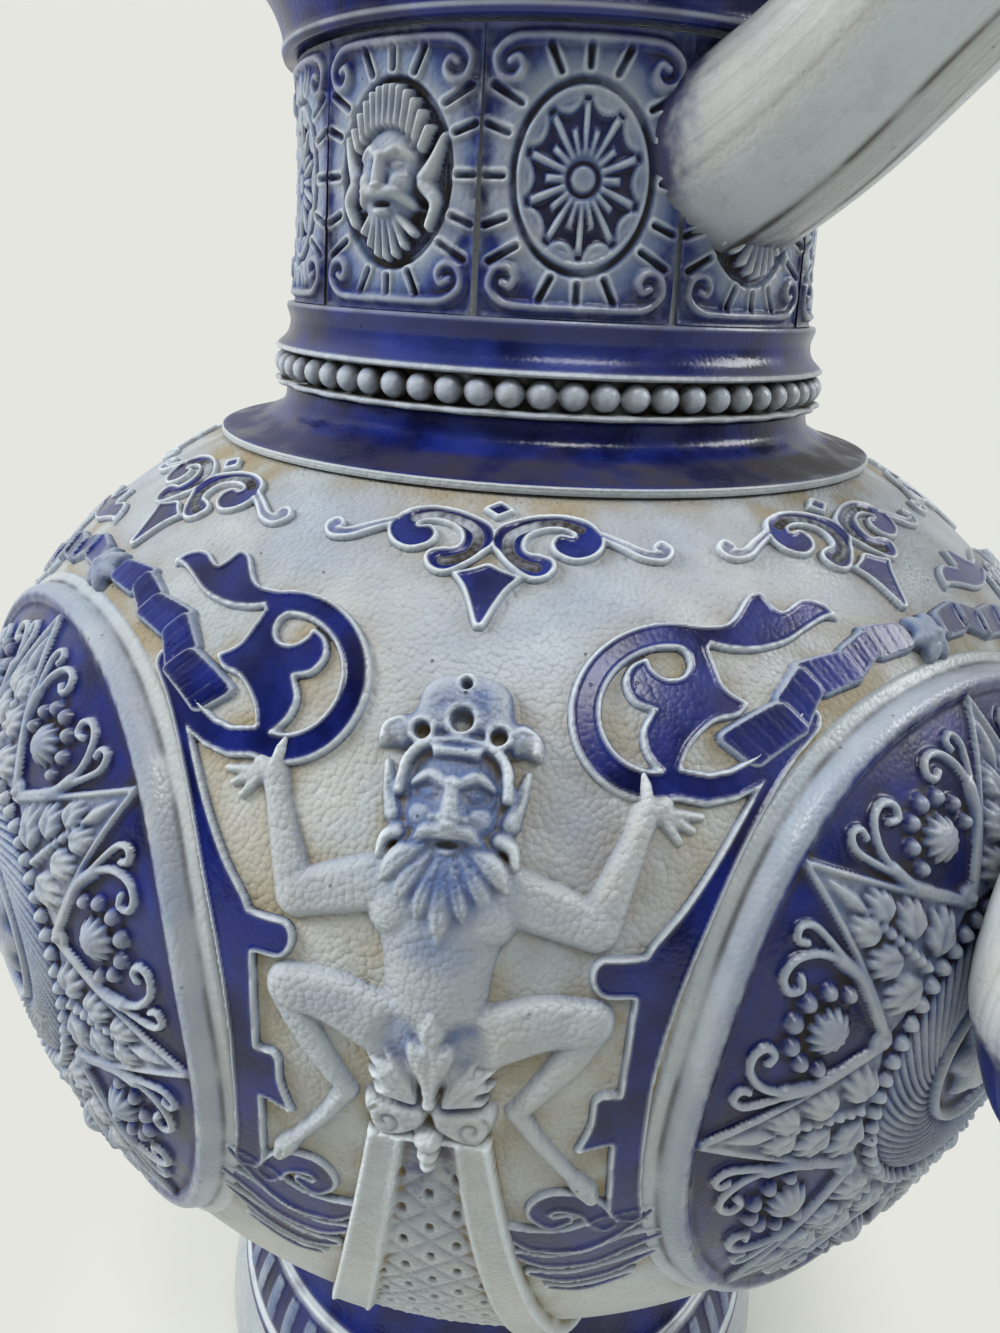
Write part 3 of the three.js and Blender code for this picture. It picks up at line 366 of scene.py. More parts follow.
class Nodes:
    """The nodes of a material or world, with short names for those in use."""

    def __init__(self, owner):
        owner.use_nodes = True
        self.owner = owner
        self.nodes, self.links = owner.node_tree.nodes, owner.node_tree.links

    def put(self, value, socket):
        if isinstance(value, bpy.types.NodeSocket):
            self.links.new(value, socket)
        else:
            socket.default_value = colour(value) if isinstance(value, str) else value

    def add(self, kind, values=None, **settings):
        """A new node with its settings, and a value or link for each input that is named or numbered."""
        node = self.nodes.new("ShaderNode" + kind)
        for key, value in settings.items():
            setattr(node, key, value)
        for key, value in (values or {}).items():
            self.put(value, node.inputs[key])
        return node.outputs

    def noise(self, scale, detail=3.0):
        return self.add("TexNoise", {"Vector": self.place, "Scale": scale, "Detail": detail})["Fac"]

    def spots(self, scale):
        return self.add("TexVoronoi", {"Vector": self.place, "Scale": scale})["Distance"]

    def streaks(self, across, along):
        """Noise drawn out along a swept piece."""
        layout = self.add("UVMap", uv_map="OFBake")[0]
        drawn = self.add("VectorMath", {0: layout, 1: (across, along, 0)}, operation="MULTIPLY")[0]
        return self.add("TexNoise", {"Vector": drawn, "Scale": 1.0})["Fac"]

    def mark(self, name):
        return self.add("Attribute", attribute_name=name)["Fac"]

    def maths(self, operation, first, second):
        return self.add("Math", {0: first, 1: second}, operation=operation)[0]

    def between(self, value, low, high, start=0.0, end=1.0):
        values = {"Value": value, "From Min": low, "From Max": high, "To Min": start, "To Max": end}
        return self.add("MapRange", values, interpolation_type="SMOOTHSTEP")["Result"]

    def mix(self, share, first, second):
        return self.add("Mix", {0: share, 6: first, 7: second}, data_type="RGBA")[2]


def new_material(name):
    s = Nodes(bpy.data.materials.new(name))
    s.surface = s.nodes["Principled BSDF"]
    s.inputs = s.surface.inputs
    s.place = s.add("NewGeometry")["Position"]
    return s


def make_glaze(slot, ground, cool, grime_and_shade, roughness, peel, specks, gloss, drawn):
    """Salt glaze: mottled ground, wash, pooled cobalt, pale edges of worn glaze with painted highlights, dirt
    with painted shade, specks and orange peel.
    """
    s = new_material(slot)
    broad = s.noise(42, 4)
    cloud = s.noise(130, 4)
    fine = s.noise(520, 3)
    pebble = s.spots(1400)
    tone = s.mix(s.between(broad, 0.36, 0.66), ground, cool)
    tone = s.mix(s.between(fine, 0.3, 0.75, 0.0, 0.22), tone, PALE)
    if drawn:
        tone = s.mix(s.between(s.streaks(60, 6), 0.4, 0.75, 0.0, drawn), tone, grime_and_shade)
        tone = s.mix(s.between(s.streaks(110, 9), 0.45, 0.8, 0.0, drawn), tone, PALE)
    washed = s.maths("MULTIPLY", s.mark("wash"), s.between(cloud, 0.28, 0.6, 0.55, 1.15))
    tone = s.mix(washed, tone, WASH)
    cobalt = s.mix(s.between(cloud, 0.3, 0.7), COBALT_DEEP, COBALT)
    cobalt = s.mix(s.between(broad, 0.46, 0.7, 0.0, 0.4), cobalt, COBALT_THIN)
    cobalt = s.mix(s.between(s.noise(75, 5), 0.52, 0.72, 0.0, 0.5), cobalt, COBALT_BROWN)
    ragged = s.maths("ADD", s.mark("blue"), s.between(fine, 0.2, 0.8, -0.16, 0.16))
    cover = s.between(ragged, 0.12, 0.8)
    tone = s.mix(cover, tone, cobalt)
    # Pale edges: worn glaze, and highlights painted on crests
    worn = s.maths("MULTIPLY", s.mark("pale"), s.between(cloud, 0.25, 0.55, 0.55, 1.0))
    tone = s.mix(worn, tone, PALE)
    # Dirt and painted shade in hollows, corners and grooves, in the grime colour
    dirt_and_shade_share = s.maths("MULTIPLY", s.mark("dirt_and_shade"), s.between(cloud, 0.3, 0.62, 0.25, 1.1))
    tone = s.mix(s.between(dirt_and_shade_share, 0.0, 1.0), tone, grime_and_shade)
    pits = s.between(s.spots(240), 0.025, 0.06, 1.0, 0.0)
    pits = s.maths("MULTIPLY", pits, s.between(broad, 0.42, 0.6))
    tone = s.mix(s.maths("MULTIPLY", pits, specks), tone, SPECK)
    rough = s.between(cover, 0.0, 1.0, roughness, gloss)
    rough = s.maths("ADD", rough, s.between(cloud, 0.3, 0.7, -0.05, 0.07))
    rough = s.maths("ADD", rough, s.maths("MULTIPLY", dirt_and_shade_share, 0.45))
    calm = s.between(cover, 0.0, 1.0, peel, 0.15)
    skin = s.maths("SUBTRACT", s.maths("MULTIPLY", fine, 0.15), s.maths("MULTIPLY", pebble, pebble))
    height = s.maths("MULTIPLY", skin, calm)
    height = s.maths("SUBTRACT", height, s.maths("MULTIPLY", pits, 2.0))
    bump = s.add("Bump", {"Strength": 1.0, "Distance": SKIN_DEPTH * MM, "Height": height})["Normal"]
    for key, value in (("Base Color", tone), ("Roughness", rough), ("Normal", bump),
                       ("Specular IOR Level", 0.4), ("Coat Weight", 0.06), ("Coat Roughness", 0.12)):
        s.put(value, s.inputs[key])
    return s.owner


GLAZES = {
    # slot: ground, cool patches, grime that also paints shade, roughness, peel, specks, roughness of cobalt,
    # throwing streaks
    "bare_clay": ("a8977c", "93897a", "5b4d3a", 0.75, 0.8, 0.5, 0.5, 0),
    "grey_glaze": ("abada9", "a0a8ac", "857652", 0.38, 1.0, 0.6, 0.16, 0),
    "plain_glaze": ("b6b7b2", "a8acaf", "45403a", 0.3, 0.3, 0.9, 0.14, 0.26),
    "cobalt_glaze": ("a3a8a8", "949da6", "2e2823", 0.34, 0.5, 0.4, 0.24, 0),
    "blue_wash": ("a9acaa", "9ca5ab", "2a2622", 0.32, 0.5, 0.4, 0.26, 0),
}
glazes = {slot: make_glaze(slot, *look) for slot, look in GLAZES.items()}


# Meshes

def make_mesh(name, points, faces, marks, uv):
    """A smooth mesh in metres from points in millimetres, with glaze masks and a layout for the bake."""
    mesh = bpy.data.meshes.new(name)
    faces = np.ascontiguousarray(faces, dtype=np.int32)
    mesh.vertices.add(len(points))
    mesh.vertices.foreach_set("co", (points * MM).astype(np.float32).ravel())
    mesh.loops.add(faces.size)
    mesh.loops.foreach_set("vertex_index", faces.ravel())
    mesh.polygons.add(len(faces))
    mesh.polygons.foreach_set("loop_start", np.arange(len(faces), dtype=np.int32) * faces.shape[1])
    mesh.polygons.foreach_set("use_smooth", np.ones(len(faces), dtype=bool))
    for key, values in marks.items():
        layer = mesh.attributes.new(key, "FLOAT", "POINT")
        layer.data.foreach_set("value", np.clip(values, 0, 1).astype(np.float32).ravel())
    layer = mesh.uv_layers.new(name="OFBake")
    layer.data.foreach_set("uv", uv.astype(np.float32).ravel())
    mesh.update()
    mesh.validate()
    return mesh


def grid_faces(rows, columns, wrap_rows=False, wrap_columns=False):
    """Quads over a grid, and the row and column of each corner before it wraps."""
    i, j = np.meshgrid(np.arange(rows if wrap_rows else rows - 1),
                       np.arange(columns if wrap_columns else columns - 1), indexing="ij")
    row = np.stack([i, i, i + 1, i + 1], axis=-1).reshape(-1, 4)
    column = np.stack([j, j + 1, j + 1, j], axis=-1).reshape(-1, 4)
    faces = (row % rows) * columns + column % columns
    return faces, row, column


def relief_mesh(name, surface, field):
    """Turns a field into a mesh at turn 0. Cells wholly under the wall are left out."""
    faces, row, column = grid_faces(*field.x.shape)
    height = soften(field.height)
    flat = height.ravel()
    shown = flat[faces].max(axis=1) > SUNK + 0.05
    used, packed = np.unique(faces[shown], return_inverse=True)
    turn = field.x / surface.radius(field.y)
    points = surface.place(turn, field.y, height).reshape(-1, 3)[used]
    crest = height - blur(np.maximum(height, 0), 0.6 / field.step)
    hollow = blur(np.maximum(height, 0), 1.0 / field.step) - height
    marks = {
        "blue": field.blue.ravel()[used],
        "wash": field.wash.ravel()[used] * np.clip(0.9 + 1.5 * hollow.ravel()[used], 0.55, 1.8),
        # pale on crests: worn glaze and painted highlight
        "pale": (crest.ravel()[used] - 0.1) * 2.2 * field.worn,
        # dark in hollows and at the feet of forms: dirt and painted shade
        "dirt_and_shade": np.clip(hollow.ravel()[used] - 0.1, 0, 2) * 2.1 * field.hollow_dirt_and_shade + field.dust_and_shade.ravel()[used],
    }
    uv = np.stack([column[shown], row[shown]], axis=-1) / max(field.x.shape)
    return make_mesh(name, points, packed.reshape(-1, 4), marks, uv)


def ring_mesh(name, points, marks):
    """A closed skin from a grid whose rows go round the section and whose columns go round the axis."""
    rows, columns = points.shape[:2]
    faces, row, column = grid_faces(rows, columns, True, True)
    uv = np.stack([column / columns, row / rows], axis=-1)
    return make_mesh(name, points.reshape(-1, 3), faces, marks, uv)


def add_piece(name, mesh, slot, node, turn=0.0):
    piece = bpy.data.objects.new(name, mesh)
    bpy.context.scene.collection.objects.link(piece)
    piece.rotation_euler.z = turn
    bpy.context.view_layer.update()
    if not mesh.materials:
        mesh.materials.append(glazes[slot])
    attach(piece, "root")
    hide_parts(node)


# Reliefs on the belly

MEDALLION_RADIUS = 53.0
MEDALLION_BAND = 51.8
MEDALLION_DROP = 5.0
MEDALLION_SPREAD = 1.03
MEDALLION_LIFT = 0.38
RAYS = 8
PEARL_RING = 22.4
PEARLS = 56
GADROONS = 64
RAY_FOOT = 22.8
RAY_TIP = 46.0
ROLL_RADIUS = 47.6
ROLL_FOOT = 0.15
GROUND_EDGE = 46.6
GROUND = 0.75
RAY_FACE = 1.0
FRUIT = 34.4


def medallion_field():
    """Rays with barley and leaves, fruit in lyre frames, pearls, flutes and a plain leaf boss."""
    reach = (MEDALLION_RADIUS + 1.2) * MEDALLION_SPREAD
    f = Field(-reach, reach, -reach - MEDALLION_DROP, reach - MEDALLION_DROP, FINE * 1.2, 0.45, 1.1)
    x, y = f.x / MEDALLION_SPREAD, (f.y + MEDALLION_DROP) / MEDALLION_SPREAD
    r = np.hypot(x, y)
    angle = np.arctan2(y, x)
    # Rim: a plain band close to the wall and a round roll
    f.raise_to(slab(MEDALLION_BAND - r, ROLL_FOOT, 0.6))
    f.raise_to(np.where(r < ROLL_RADIUS, GROUND + 0.55, SUNK))
    f.on(ROLL_FOOT, ridge(np.abs(r - ROLL_RADIUS), 2.3, 1.8))
    f.height -= 0.55 * smooth((GROUND_EDGE - r) / 0.8)
    ground = smooth((GROUND_EDGE - 0.2 - r) / 0.5)
    # Fold the plane onto one wedge: u runs outwards, v sideways from the nearest axis
    wedge = 2 * math.pi / RAYS
    on_ray = np.mod(angle - math.pi / 2 + wedge / 2, wedge) - wedge / 2
    on_gap = np.mod(angle - math.pi / 2, wedge) - wedge / 2
    ru, rv = r * np.cos(on_ray), np.abs(r * np.sin(on_ray))
    gu, gs = r * np.cos(on_gap), r * np.sin(on_gap)
    gv = np.abs(gs)
    # Ray: a thin border, a row of grains and lobed leaves on both sides
    half = math.tan(wedge / 2) * RAY_FOOT
    ray = inside(ru, rv, [(RAY_FOOT, -half), (RAY_TIP, 0), (RAY_FOOT, half)])
    f.raise_to(slab(ray, 1.05, 0.4))
    f.on(RAY_FACE, ridge(to_line(ru, rv, [(RAY_FOOT, half), (RAY_TIP, 0.1)]), 0.45, 0.8))
    for k in range(8):
        f.on(RAY_FACE, dome(disc(ru, rv, 25.0 + 1.5 * k, 0, 0.85, 0.75), 0.75, 1.2 - 0.05 * k))
    f.on(RAY_FACE, taper(ru, rv, [(37, 0), (39.4, 0), (42.6, 0)], [0.5, 1.0, 0.3], 1.0))
    for u, v, turn, size in ((24.4, 2.0, 1.0, 6.4), (29.2, 1.5, 0.66, 5.6), (34.0, 1.0, 0.42, 4.6)):
        for side, share in ((-0.62, 0.6), (-0.3, 0.85), (0.0, 1.0), (0.32, 0.8), (0.66, 0.55)):
            tip = (u + size * share * math.cos(turn + side), v + size * share * math.sin(turn + side))
            bend = (u + 0.6 * (tip[0] - u), v + 0.6 * (tip[1] - v))
            lobe = taper(ru, rv, [(u, v), bend, tip], [0.4, 0.15 * size, 0.3], 1.3)
            f.on(RAY_FACE, lobe * (ray > 0.7))
        vein = [(u, v), (u + 0.85 * size * math.cos(turn), v + 0.85 * size * math.sin(turn))]
        f.height -= 0.35 * (ray > 0.7) * np.clip(1 - to_line(ru, rv, vein) / 0.35, 0, 1)
    # Lyre frame with volutes, a fluted boss and berries
    arm = curve([(25.8, 0.5), (28.6, 2.9), (31.8, 6.0), (35.2, 8.0), (38.8, 8.4), (41.6, 7.0), (42.4, 4.8),
                 (41.3, 3.4), (39.9, 4.0), (40.2, 5.2)])
    curl = curve([(34.4, 7.8), (37.2, 9.6), (40.2, 11.2), (42.0, 10.6), (41.8, 9.2), (40.6, 9.2)])
    for line, half_width in ((arm, 0.62), (curl, 0.55)):
        sweep = to_line(gu, gv, line)
        f.on(GROUND, ridge(sweep, half_width, 1.25))
        f.height -= 0.3 * ridge(sweep, 0.35 * half_width, 1)
    f.on(GROUND, horn(gu, gv, [(30.6, 4.8), (33.0, 7.0), (36.0, 8.3)], 0.7, 1.05, 1.4))
    bud = disc(gu, gs, 26.0, 0, 1.7)
    f.on(GROUND, dome(bud, 1.7, 1.6))
    f.height -= 0.6 * np.clip(1 - np.abs(bud - 0.9) / 0.3, 0, 1)
    f.on(GROUND, flower(gu - FRUIT, gs, 3.1, 11, 0.12, 2.2, 2))
    for k in range(7):
        turn = math.radians(-102 + 34 * k)
        bx, by = FRUIT + 4.75 * math.cos(turn), 4.75 * math.sin(turn)
        size = 1.35 - 0.08 * abs(k - 3)
        f.on(GROUND, dome(disc(gu, gs, bx, by, size), size, 1.5))
        f.paint(0.6 * smooth(disc(gu, gs, bx, by, size + 0.2) / 0.4))
    # Pearls, flutes, a flat ring and the boss in the middle
    pearl = np.mod(angle, 2 * math.pi / PEARLS) - math.pi / PEARLS
    f.on(GROUND, dome(1.15 - np.hypot(r - PEARL_RING, r * pearl), 1.15, 1.6))
    fluted = np.mod(angle + (r - 14) * 0.08, 2 * math.pi / GADROONS) * GADROONS / (2 * math.pi)
    swell = np.sin(math.pi * fluted) ** 2
    hump = np.clip(1 - ((r - 16.8) / 4.4) ** 2, 0, 1) ** 0.5
    f.raise_to(np.where((r < 21.1) & (r > 12.6), GROUND + (1.4 * swell + 0.35) * hump, SUNK))
    f.on(GROUND, ridge(np.abs(r - 11.8), 0.9, 1.5))
    petals = 0.8 + 0.2 * np.cos(8 * angle)
    leaves = 1.8 * np.clip(1 - ((r - 5.2) / (4.0 * petals)) ** 2, 0, 1) ** ROUNDNESS
    f.raise_to(np.where(r < 9.5, GROUND + leaves, SUNK))
    f.on(GROUND, dome(2.6 - r, 2.6, 2.6))
    raised = smooth((f.height - 0.85) / 0.5)
    f.paint(0.85 * ground * (1 - raised) * np.where(ray > 0, 0.5, 1.0))
    f.paint(0.12 + ground * np.where(ray > 0, 0.5, 0.75), "wash")
    f.paint(0.7 * np.exp(-((r - GROUND_EDGE) / 0.7) ** 2))
    f.paint(0.8 * np.exp(-((r - ROLL_RADIUS - 0.1) / 1.9) ** 2), "wash")
    f.height += MEDALLION_LIFT * smooth((MEDALLION_RADIUS + 0.3 - r) / 0.9)
    return f


FIGURE_HEIGHT = 0.9


def satyr_field():
    """A generic bearded figure with leaf crown, raised arms, bent legs and a leaf apron."""
    f = Field(-30.5, 30.5, -17.5, 52, FINE, 0.5, 0.4)
    x, y = np.abs(f.x), f.y
    # Body: chest, belly, arms and legs
    torso = shape(x, y, mirrored([(0, 30), (5, 29.6), (8.2, 27.5), (8.6, 23.5), (7.0, 20.4), (6.2, 17),
                                  (6.0, 13), (6.6, 9), (5, 4), (0, 2)]))
    f.raise_to(dome(torso, 5.5, 2.3))
    f.raise_to(taper(x, y, [(3.6, 24.6), (5.2, 23.0)], [3.6, 3.3], 2.6))
    for line, wide, narrow, height in (([(6.6, 26.0), (11.8, 24.4), (17.0, 22.6)], 3.4, 2.7, 1.75),
                                       ([(17.0, 22.6), (18.6, 27.0), (20.6, 32.6)], 2.8, 1.7, 1.6),
                                       ([(5.0, 9.0), (11.5, 11.4), (17.2, 11.8)], 4.1, 2.9, 1.9),
                                       ([(17.2, 11.2), (14.8, 6.4), (9.9, -0.4)], 2.8, 1.4, 1.55)):
        path = curve(line)
        sd = limb(x, y, path, np.linspace(wide, narrow, len(path)))[0]
        f.raise_to(dome(sd, 1.6, 0.8 * height))
        f.swell(0.35 * np.clip(sd / wide, 0, 1))
    f.raise_to(taper(x, y, [(20.6, 32.6), (21.4, 35.2), (23.2, 35.8)], [1.7, 1.9, 1.4], 1.7))
    for tip in ((27.8, 34.4), (26.8, 33.0), (25.4, 31.8)):
        f.raise_to(taper(x, y, [(22.6, 35.2), tip], [0.95, 0.5], 1.4))
    f.raise_to(taper(x, y, [(21.4, 35.6), (21.0, 38.0), (20.6, 39.4)], [1.0, 0.8, 0.4], 1.9))
    f.cut(0.2 - to_line(x, y, curve([(15.4, 9.4), (12.6, 8.2), (10.2, 6.2)])), 0.5, 0.35)
    f.raise_to(taper(x, y, [(9.9, -0.4), (12.4, -4.6), (17.2, -11.0)], [1.5, 1.1, 1.0], 1.4))
    f.raise_to(taper(x, y, [(17.2, -11.0), (18.6, -13.0), (19.4, -14.6)], [1.3, 1.6, 1.1], 1.5))
    f.cut(0.25 - to_line(x, y, [(18.4, -12.6), (19.4, -14.8)]), 0.6, 0.3)
    # Head: skull, ears, brow, eyes, nose, cheeks, moustache and leaf beard
    f.raise_to(dome(disc(x, y, 0, 34.8, 5.9, 7.6), 5.4, 3.3))
    f.raise_to(horn(x, y, [(6.3, 33.4), (7.2, 36.0), (7.9, 38.8)], 1.5, 0.5, 2.2))
    f.cut(shape(x, y, [(6.4, 34.0), (6.8, 36.4), (7.8, 38.0), (7.5, 35.6)]), 0.8)
    f.swell(horn(x, y, [(0.9, 37.2), (2.6, 38.0), (4.6, 36.9)], 0.75, 0.55, 1.0))
    f.cut(disc(x, y, 2.6, 35.9, 2.0, 1.3), 1.1, 0.7)
    f.swell(dome(disc(x, y, 2.6, 35.85, 1.4, 0.8), 0.6, 0.9))
    f.score(x, y, curve([(1.2, 35.8), (2.6, 35.6), (4.0, 35.9)]), 0.6)
    f.swell(dome(disc(x, y, 3.3, 33.3, 1.9, 1.6), 1.4, 0.9))
    f.swell(horn(x, y, [(0, 37.4), (0, 35.6), (0, 33.7)], 0.7, 1.25, 1.8))
    f.swell(dome(disc(x, y, 1.35, 33.5, 0.8, 0.65), 0.6, 0.9))
    f.swell(horn(x, y, [(0.3, 32.2), (2.2, 31.9), (4.0, 30.6), (5.6, 29.8)], 1.05, 0.5, 1.6))
    f.score(x, y, curve([(0.9, 31.9), (2.6, 31.4), (4.4, 30.3)]), 0.55)
    f.cut(disc(x, y, 0, 30.8, 1.5, 0.55), 1.4, 0.35)
    f.swell(dome(disc(x, y, 0, 29.9, 1.3, 0.6), 0.6, 0.7))
    for root, bend, tip, wide in (
        ((2.4, 30.4), (5.0, 28.8), (6.8, 26.4), 1.5), ((1.8, 29.4), (3.7, 26.8), (5.0, 24.4), 1.45),
        ((0.7, 29.0), (1.9, 25.4), (2.5, 22.9), 1.4), ((0, 29), (0, 24.6), (0, 20.2), 1.8),
    ):
        line = curve([root, bend, tip], steps=4)
        f.on(1.9, taper(x, y, line, [0.7, 0.9, wide * 0.8, wide, wide, wide * 0.9, wide * 0.7, 0.5, 0.3],
                        1.7))
        f.score(x, y, line[2:-1], 0.7)
    f.on(1.2, horn(x, y, [(5.4, 31.6), (6.9, 30.8), (7.4, 29.0)], 1.1, 0.6, 1.6))
    # Leaf crown with pierced holes over an arched head band
    crown = shape(x, y, mirrored([(0, 50.0), (3, 49.6), (5.0, 48.0), (5.9, 45.0), (7.6, 44.4), (9.4, 42.4),
                                  (9.4, 40.2), (9.4, 40.2), (7.4, 40.6), (6, 40.4), (4, 41.6), (0, 42)]))
    f.raise_to(dome(crown, 2.2, 2.6))
    f.on(2.0, ridge(to_line(x, y, curve([(4.6, 41.4), (6.4, 43.4), (8.2, 42.8), (8.6, 41.2)])), 0.5, 0.7))
    f.on(2.1, ridge(to_line(x, y, [(0, 46.6), (2.4, 46.4), (3.4, 45.4)]), 0.5, 0.7))
    f.on(2.0, ridge(to_line(x, y, curve([(5.9, 36.0), (5.5, 39.2), (3.6, 41.2), (0, 41.8)])), 0.7, 1.0))
    f.raise_to(slab(inside(x, y, [(-2.6, 39.7), (2.6, 39.7), (3.2, 41.2), (-3.2, 41.2)]), 3.6, 0.4))
    for cx, cy, size in ((0, 44.2, 1.4), (4.3, 42.6, 1.0), (0, 48.3, 0.7)):
        hole = disc(x, y, cx, cy, size)
        f.on(2.4, ridge(np.abs(hole + 0.25), 0.35, 0.4))
        f.cut(hole, 2.6, 0.4)
    # Apron of lobed leaves, and the volutes with a knot that the figure sits on
    leaf = mirrored([(0, 13.2), (1.3, 11.6), (1.6, 10.0), (1.2, 8.9), (1.2, 8.9), (2.5, 9.2), (2.5, 9.2),
                     (2.8, 7.6), (2.2, 5.8), (1.4, 4.2), (0.9, 2.2), (0.8, 0.4)])
    wing = [(1.2, 0.5), (1.9, 3.4), (3.2, 5.4), (5.5, 7.3), (5.5, 7.3), (5.0, 5.6), (7.5, 6.1), (7.5, 6.1),
            (6.2, 4.3), (7.6, 3.6), (7.6, 3.6), (5.4, 2.6), (7.0, 1.5), (7.0, 1.5), (4.2, 0.8)]
    volute = [(0.1, 0.2), (4.0, 0.4), (7.4, 0.6), (7.6, -2.0), (6.0, -5.0), (3.2, -4.8), (0.8, -3.4),
              (0.1, -2.0)]
    veins = ([(0, 1.0), (0, 11.6)], [(0.7, 3.0), (2.0, 7.8)], [(1.8, 1.4), (4.6, 5.6)],
             [(2.6, 1.6), (6.4, 5.2)], [(3.4, 1.4), (6.2, 2.6)])
    f.cut(disc(x, y, 3.6, 8.4, 4.0, 4.2), 0.7, 2.0)
    f.on(1.3, dome(shape(x, y, wing), 1.2, 1.2))
    f.on(1.6, dome(shape(f.x, y, leaf), 1.2, 1.4))
    for vein in veins:
        f.score(x, y, vein, 0.6)
    f.raise_to(dome(shape(x, y, volute), 1.2, 2.1))
    f.cut(0.25 - to_line(x, y, spiral(4.9, -2.5, 2.3, 60, -470)), 0.8, 0.25)
    for level, size in ((-4.6, 1.9), (-6.6, 1.5), (-8.2, 1.15)):
        f.on(1.4, dome(disc(x, y, 0, level, size, size * 0.8), size * 0.8, 1.5 + 0.2 * size))
    f.height = np.where(f.height > 0, f.height * FIGURE_HEIGHT, f.height)
    # Blue wash: x, y, half-width, half-height and strength, on both sides where x isn't 0
    for sx, sy, width, height, amount in (
        (0, 19, 4.5, 3.0, 0.9), (0, 23, 4.5, 3.0, 0.6), (0, 28.5, 6, 6, 1.3), (0, 39, 7, 5, 1.35),
        (3.6, 35, 4.2, 6, 1.35), (5.4, 43, 4.4, 3.4, 1.15), (3.6, 9, 2.6, 3.5, 0.95),
        (2.4, 0.8, 2.0, 1.4, 0.9),
    ):
        f.spot(x, sx, sy, width, height, amount)
    f.spot(f.x, 0.5, 46, 6.5, 5.0, 1.4)
    f.paint(0.32 + 0 * x, "wash")
    return f


PEDESTAL_TOP = -4.5
PEDESTAL_LENGTH = 82.0
LATTICE_WIDTH = 6.8
LATTICE_DROP = 7.0


def pedestal_field():
    """A pillar that widens downwards: two plain bands beside a sunk panel of pierced lattice."""
    low = PEDESTAL_TOP - PEDESTAL_LENGTH
    f = Field(-24, 24, low, PEDESTAL_TOP + 0.6, FINE * 1.2)
    x, y = np.abs(f.x), f.y
    drop = np.clip(PEDESTAL_TOP - y, 0, None)
    half = 7.2 + 16.0 * (drop / 84.0) ** 1.1
    field_half = 2.7 + (half - 6.9) * 0.78
    sd = np.minimum(half - x, np.minimum(PEDESTAL_TOP - y, y - low))
    f.raise_to(slab(sd, 1.7, 0.5))
    f.raise_to(np.where(sd > 0, 1.5 + ridge(np.abs(half - x - 0.55), 0.6, 0.6), SUNK))
    panel = np.minimum(field_half - x, PEDESTAL_TOP - 0.6 - y)
    f.raise_to(np.where(sd > 0, 1.5 + ridge(np.abs(panel + 0.45), 0.5, 0.5), SUNK))
    f.cut(panel, 1.0, 0.4)
    # Diamond lattice with a pierced drop in each cell
    across, down = f.x / LATTICE_WIDTH, drop / LATTICE_DROP
    rising, falling = np.mod(across + down, 1) - 0.5, np.mod(across - down, 1) - 0.5
    in_panel = smooth(panel / 0.4) * (drop > 5)
    groove = np.minimum(0.5 - np.abs(rising), 0.5 - np.abs(falling)) * LATTICE_DROP * 0.8
    f.height -= in_panel * 0.4 * np.clip(1 - groove / 0.45, 0, 1)
    side, fall = (rising + falling) / 2 * LATTICE_WIDTH, (rising - falling) / 2 * LATTICE_DROP
    hole = smooth((1 - np.hypot(side / 0.6, fall / 1.1)) * 2)
    f.height -= in_panel * 1.1 * hole
    f.paint(0.7 * in_panel * hole)
    f.swell(in_panel * 0.35 * np.clip(1 - np.hypot(side / 2.2, fall / 1.8), 0, 1))
    f.paint(0.7 * smooth(panel / 0.5) * np.exp(-drop / 12))
    f.paint((0.06 + 0.4 * np.exp(-drop / 32)) * smooth(panel / 0.6), "wash")
    f.spot(x, 0, PEDESTAL_TOP - 2, 7, 3, 0.3)
    return f


# Strokes of the leaf at the foot of a strap: points and half-widths
FOOT_LEAF = [
    ([(21.4, -19.0), (18.6, -15.6), (15.0, -14.9), (13.2, -17.0), (14.6, -18.9), (16.6, -18.2)],
     [1.7, 1.9, 1.7, 1.3, 1.0]),
    ([(9.8, -21.4), (13.5, -23.0), (18.0, -22.6), (22.4, -19.6), (26.8, -17.0)], [1.2, 2.5, 2.7, 2.4, 0.8]),
    ([(11.0, -26.4), (15.0, -28.0), (20.0, -26.8), (25.0, -23.4), (30.4, -21.6)], [0.9, 1.7, 2.0, 1.7, 0.6]),
    ([(13.0, -31.4), (17.5, -32.4), (22.4, -30.4), (28.6, -26.2)], [0.9, 1.6, 1.6, 0.6]),
    ([(15.4, -35.6), (20.0, -35.8), (26.0, -32.0)], [0.7, 1.1, 0.6]),
]


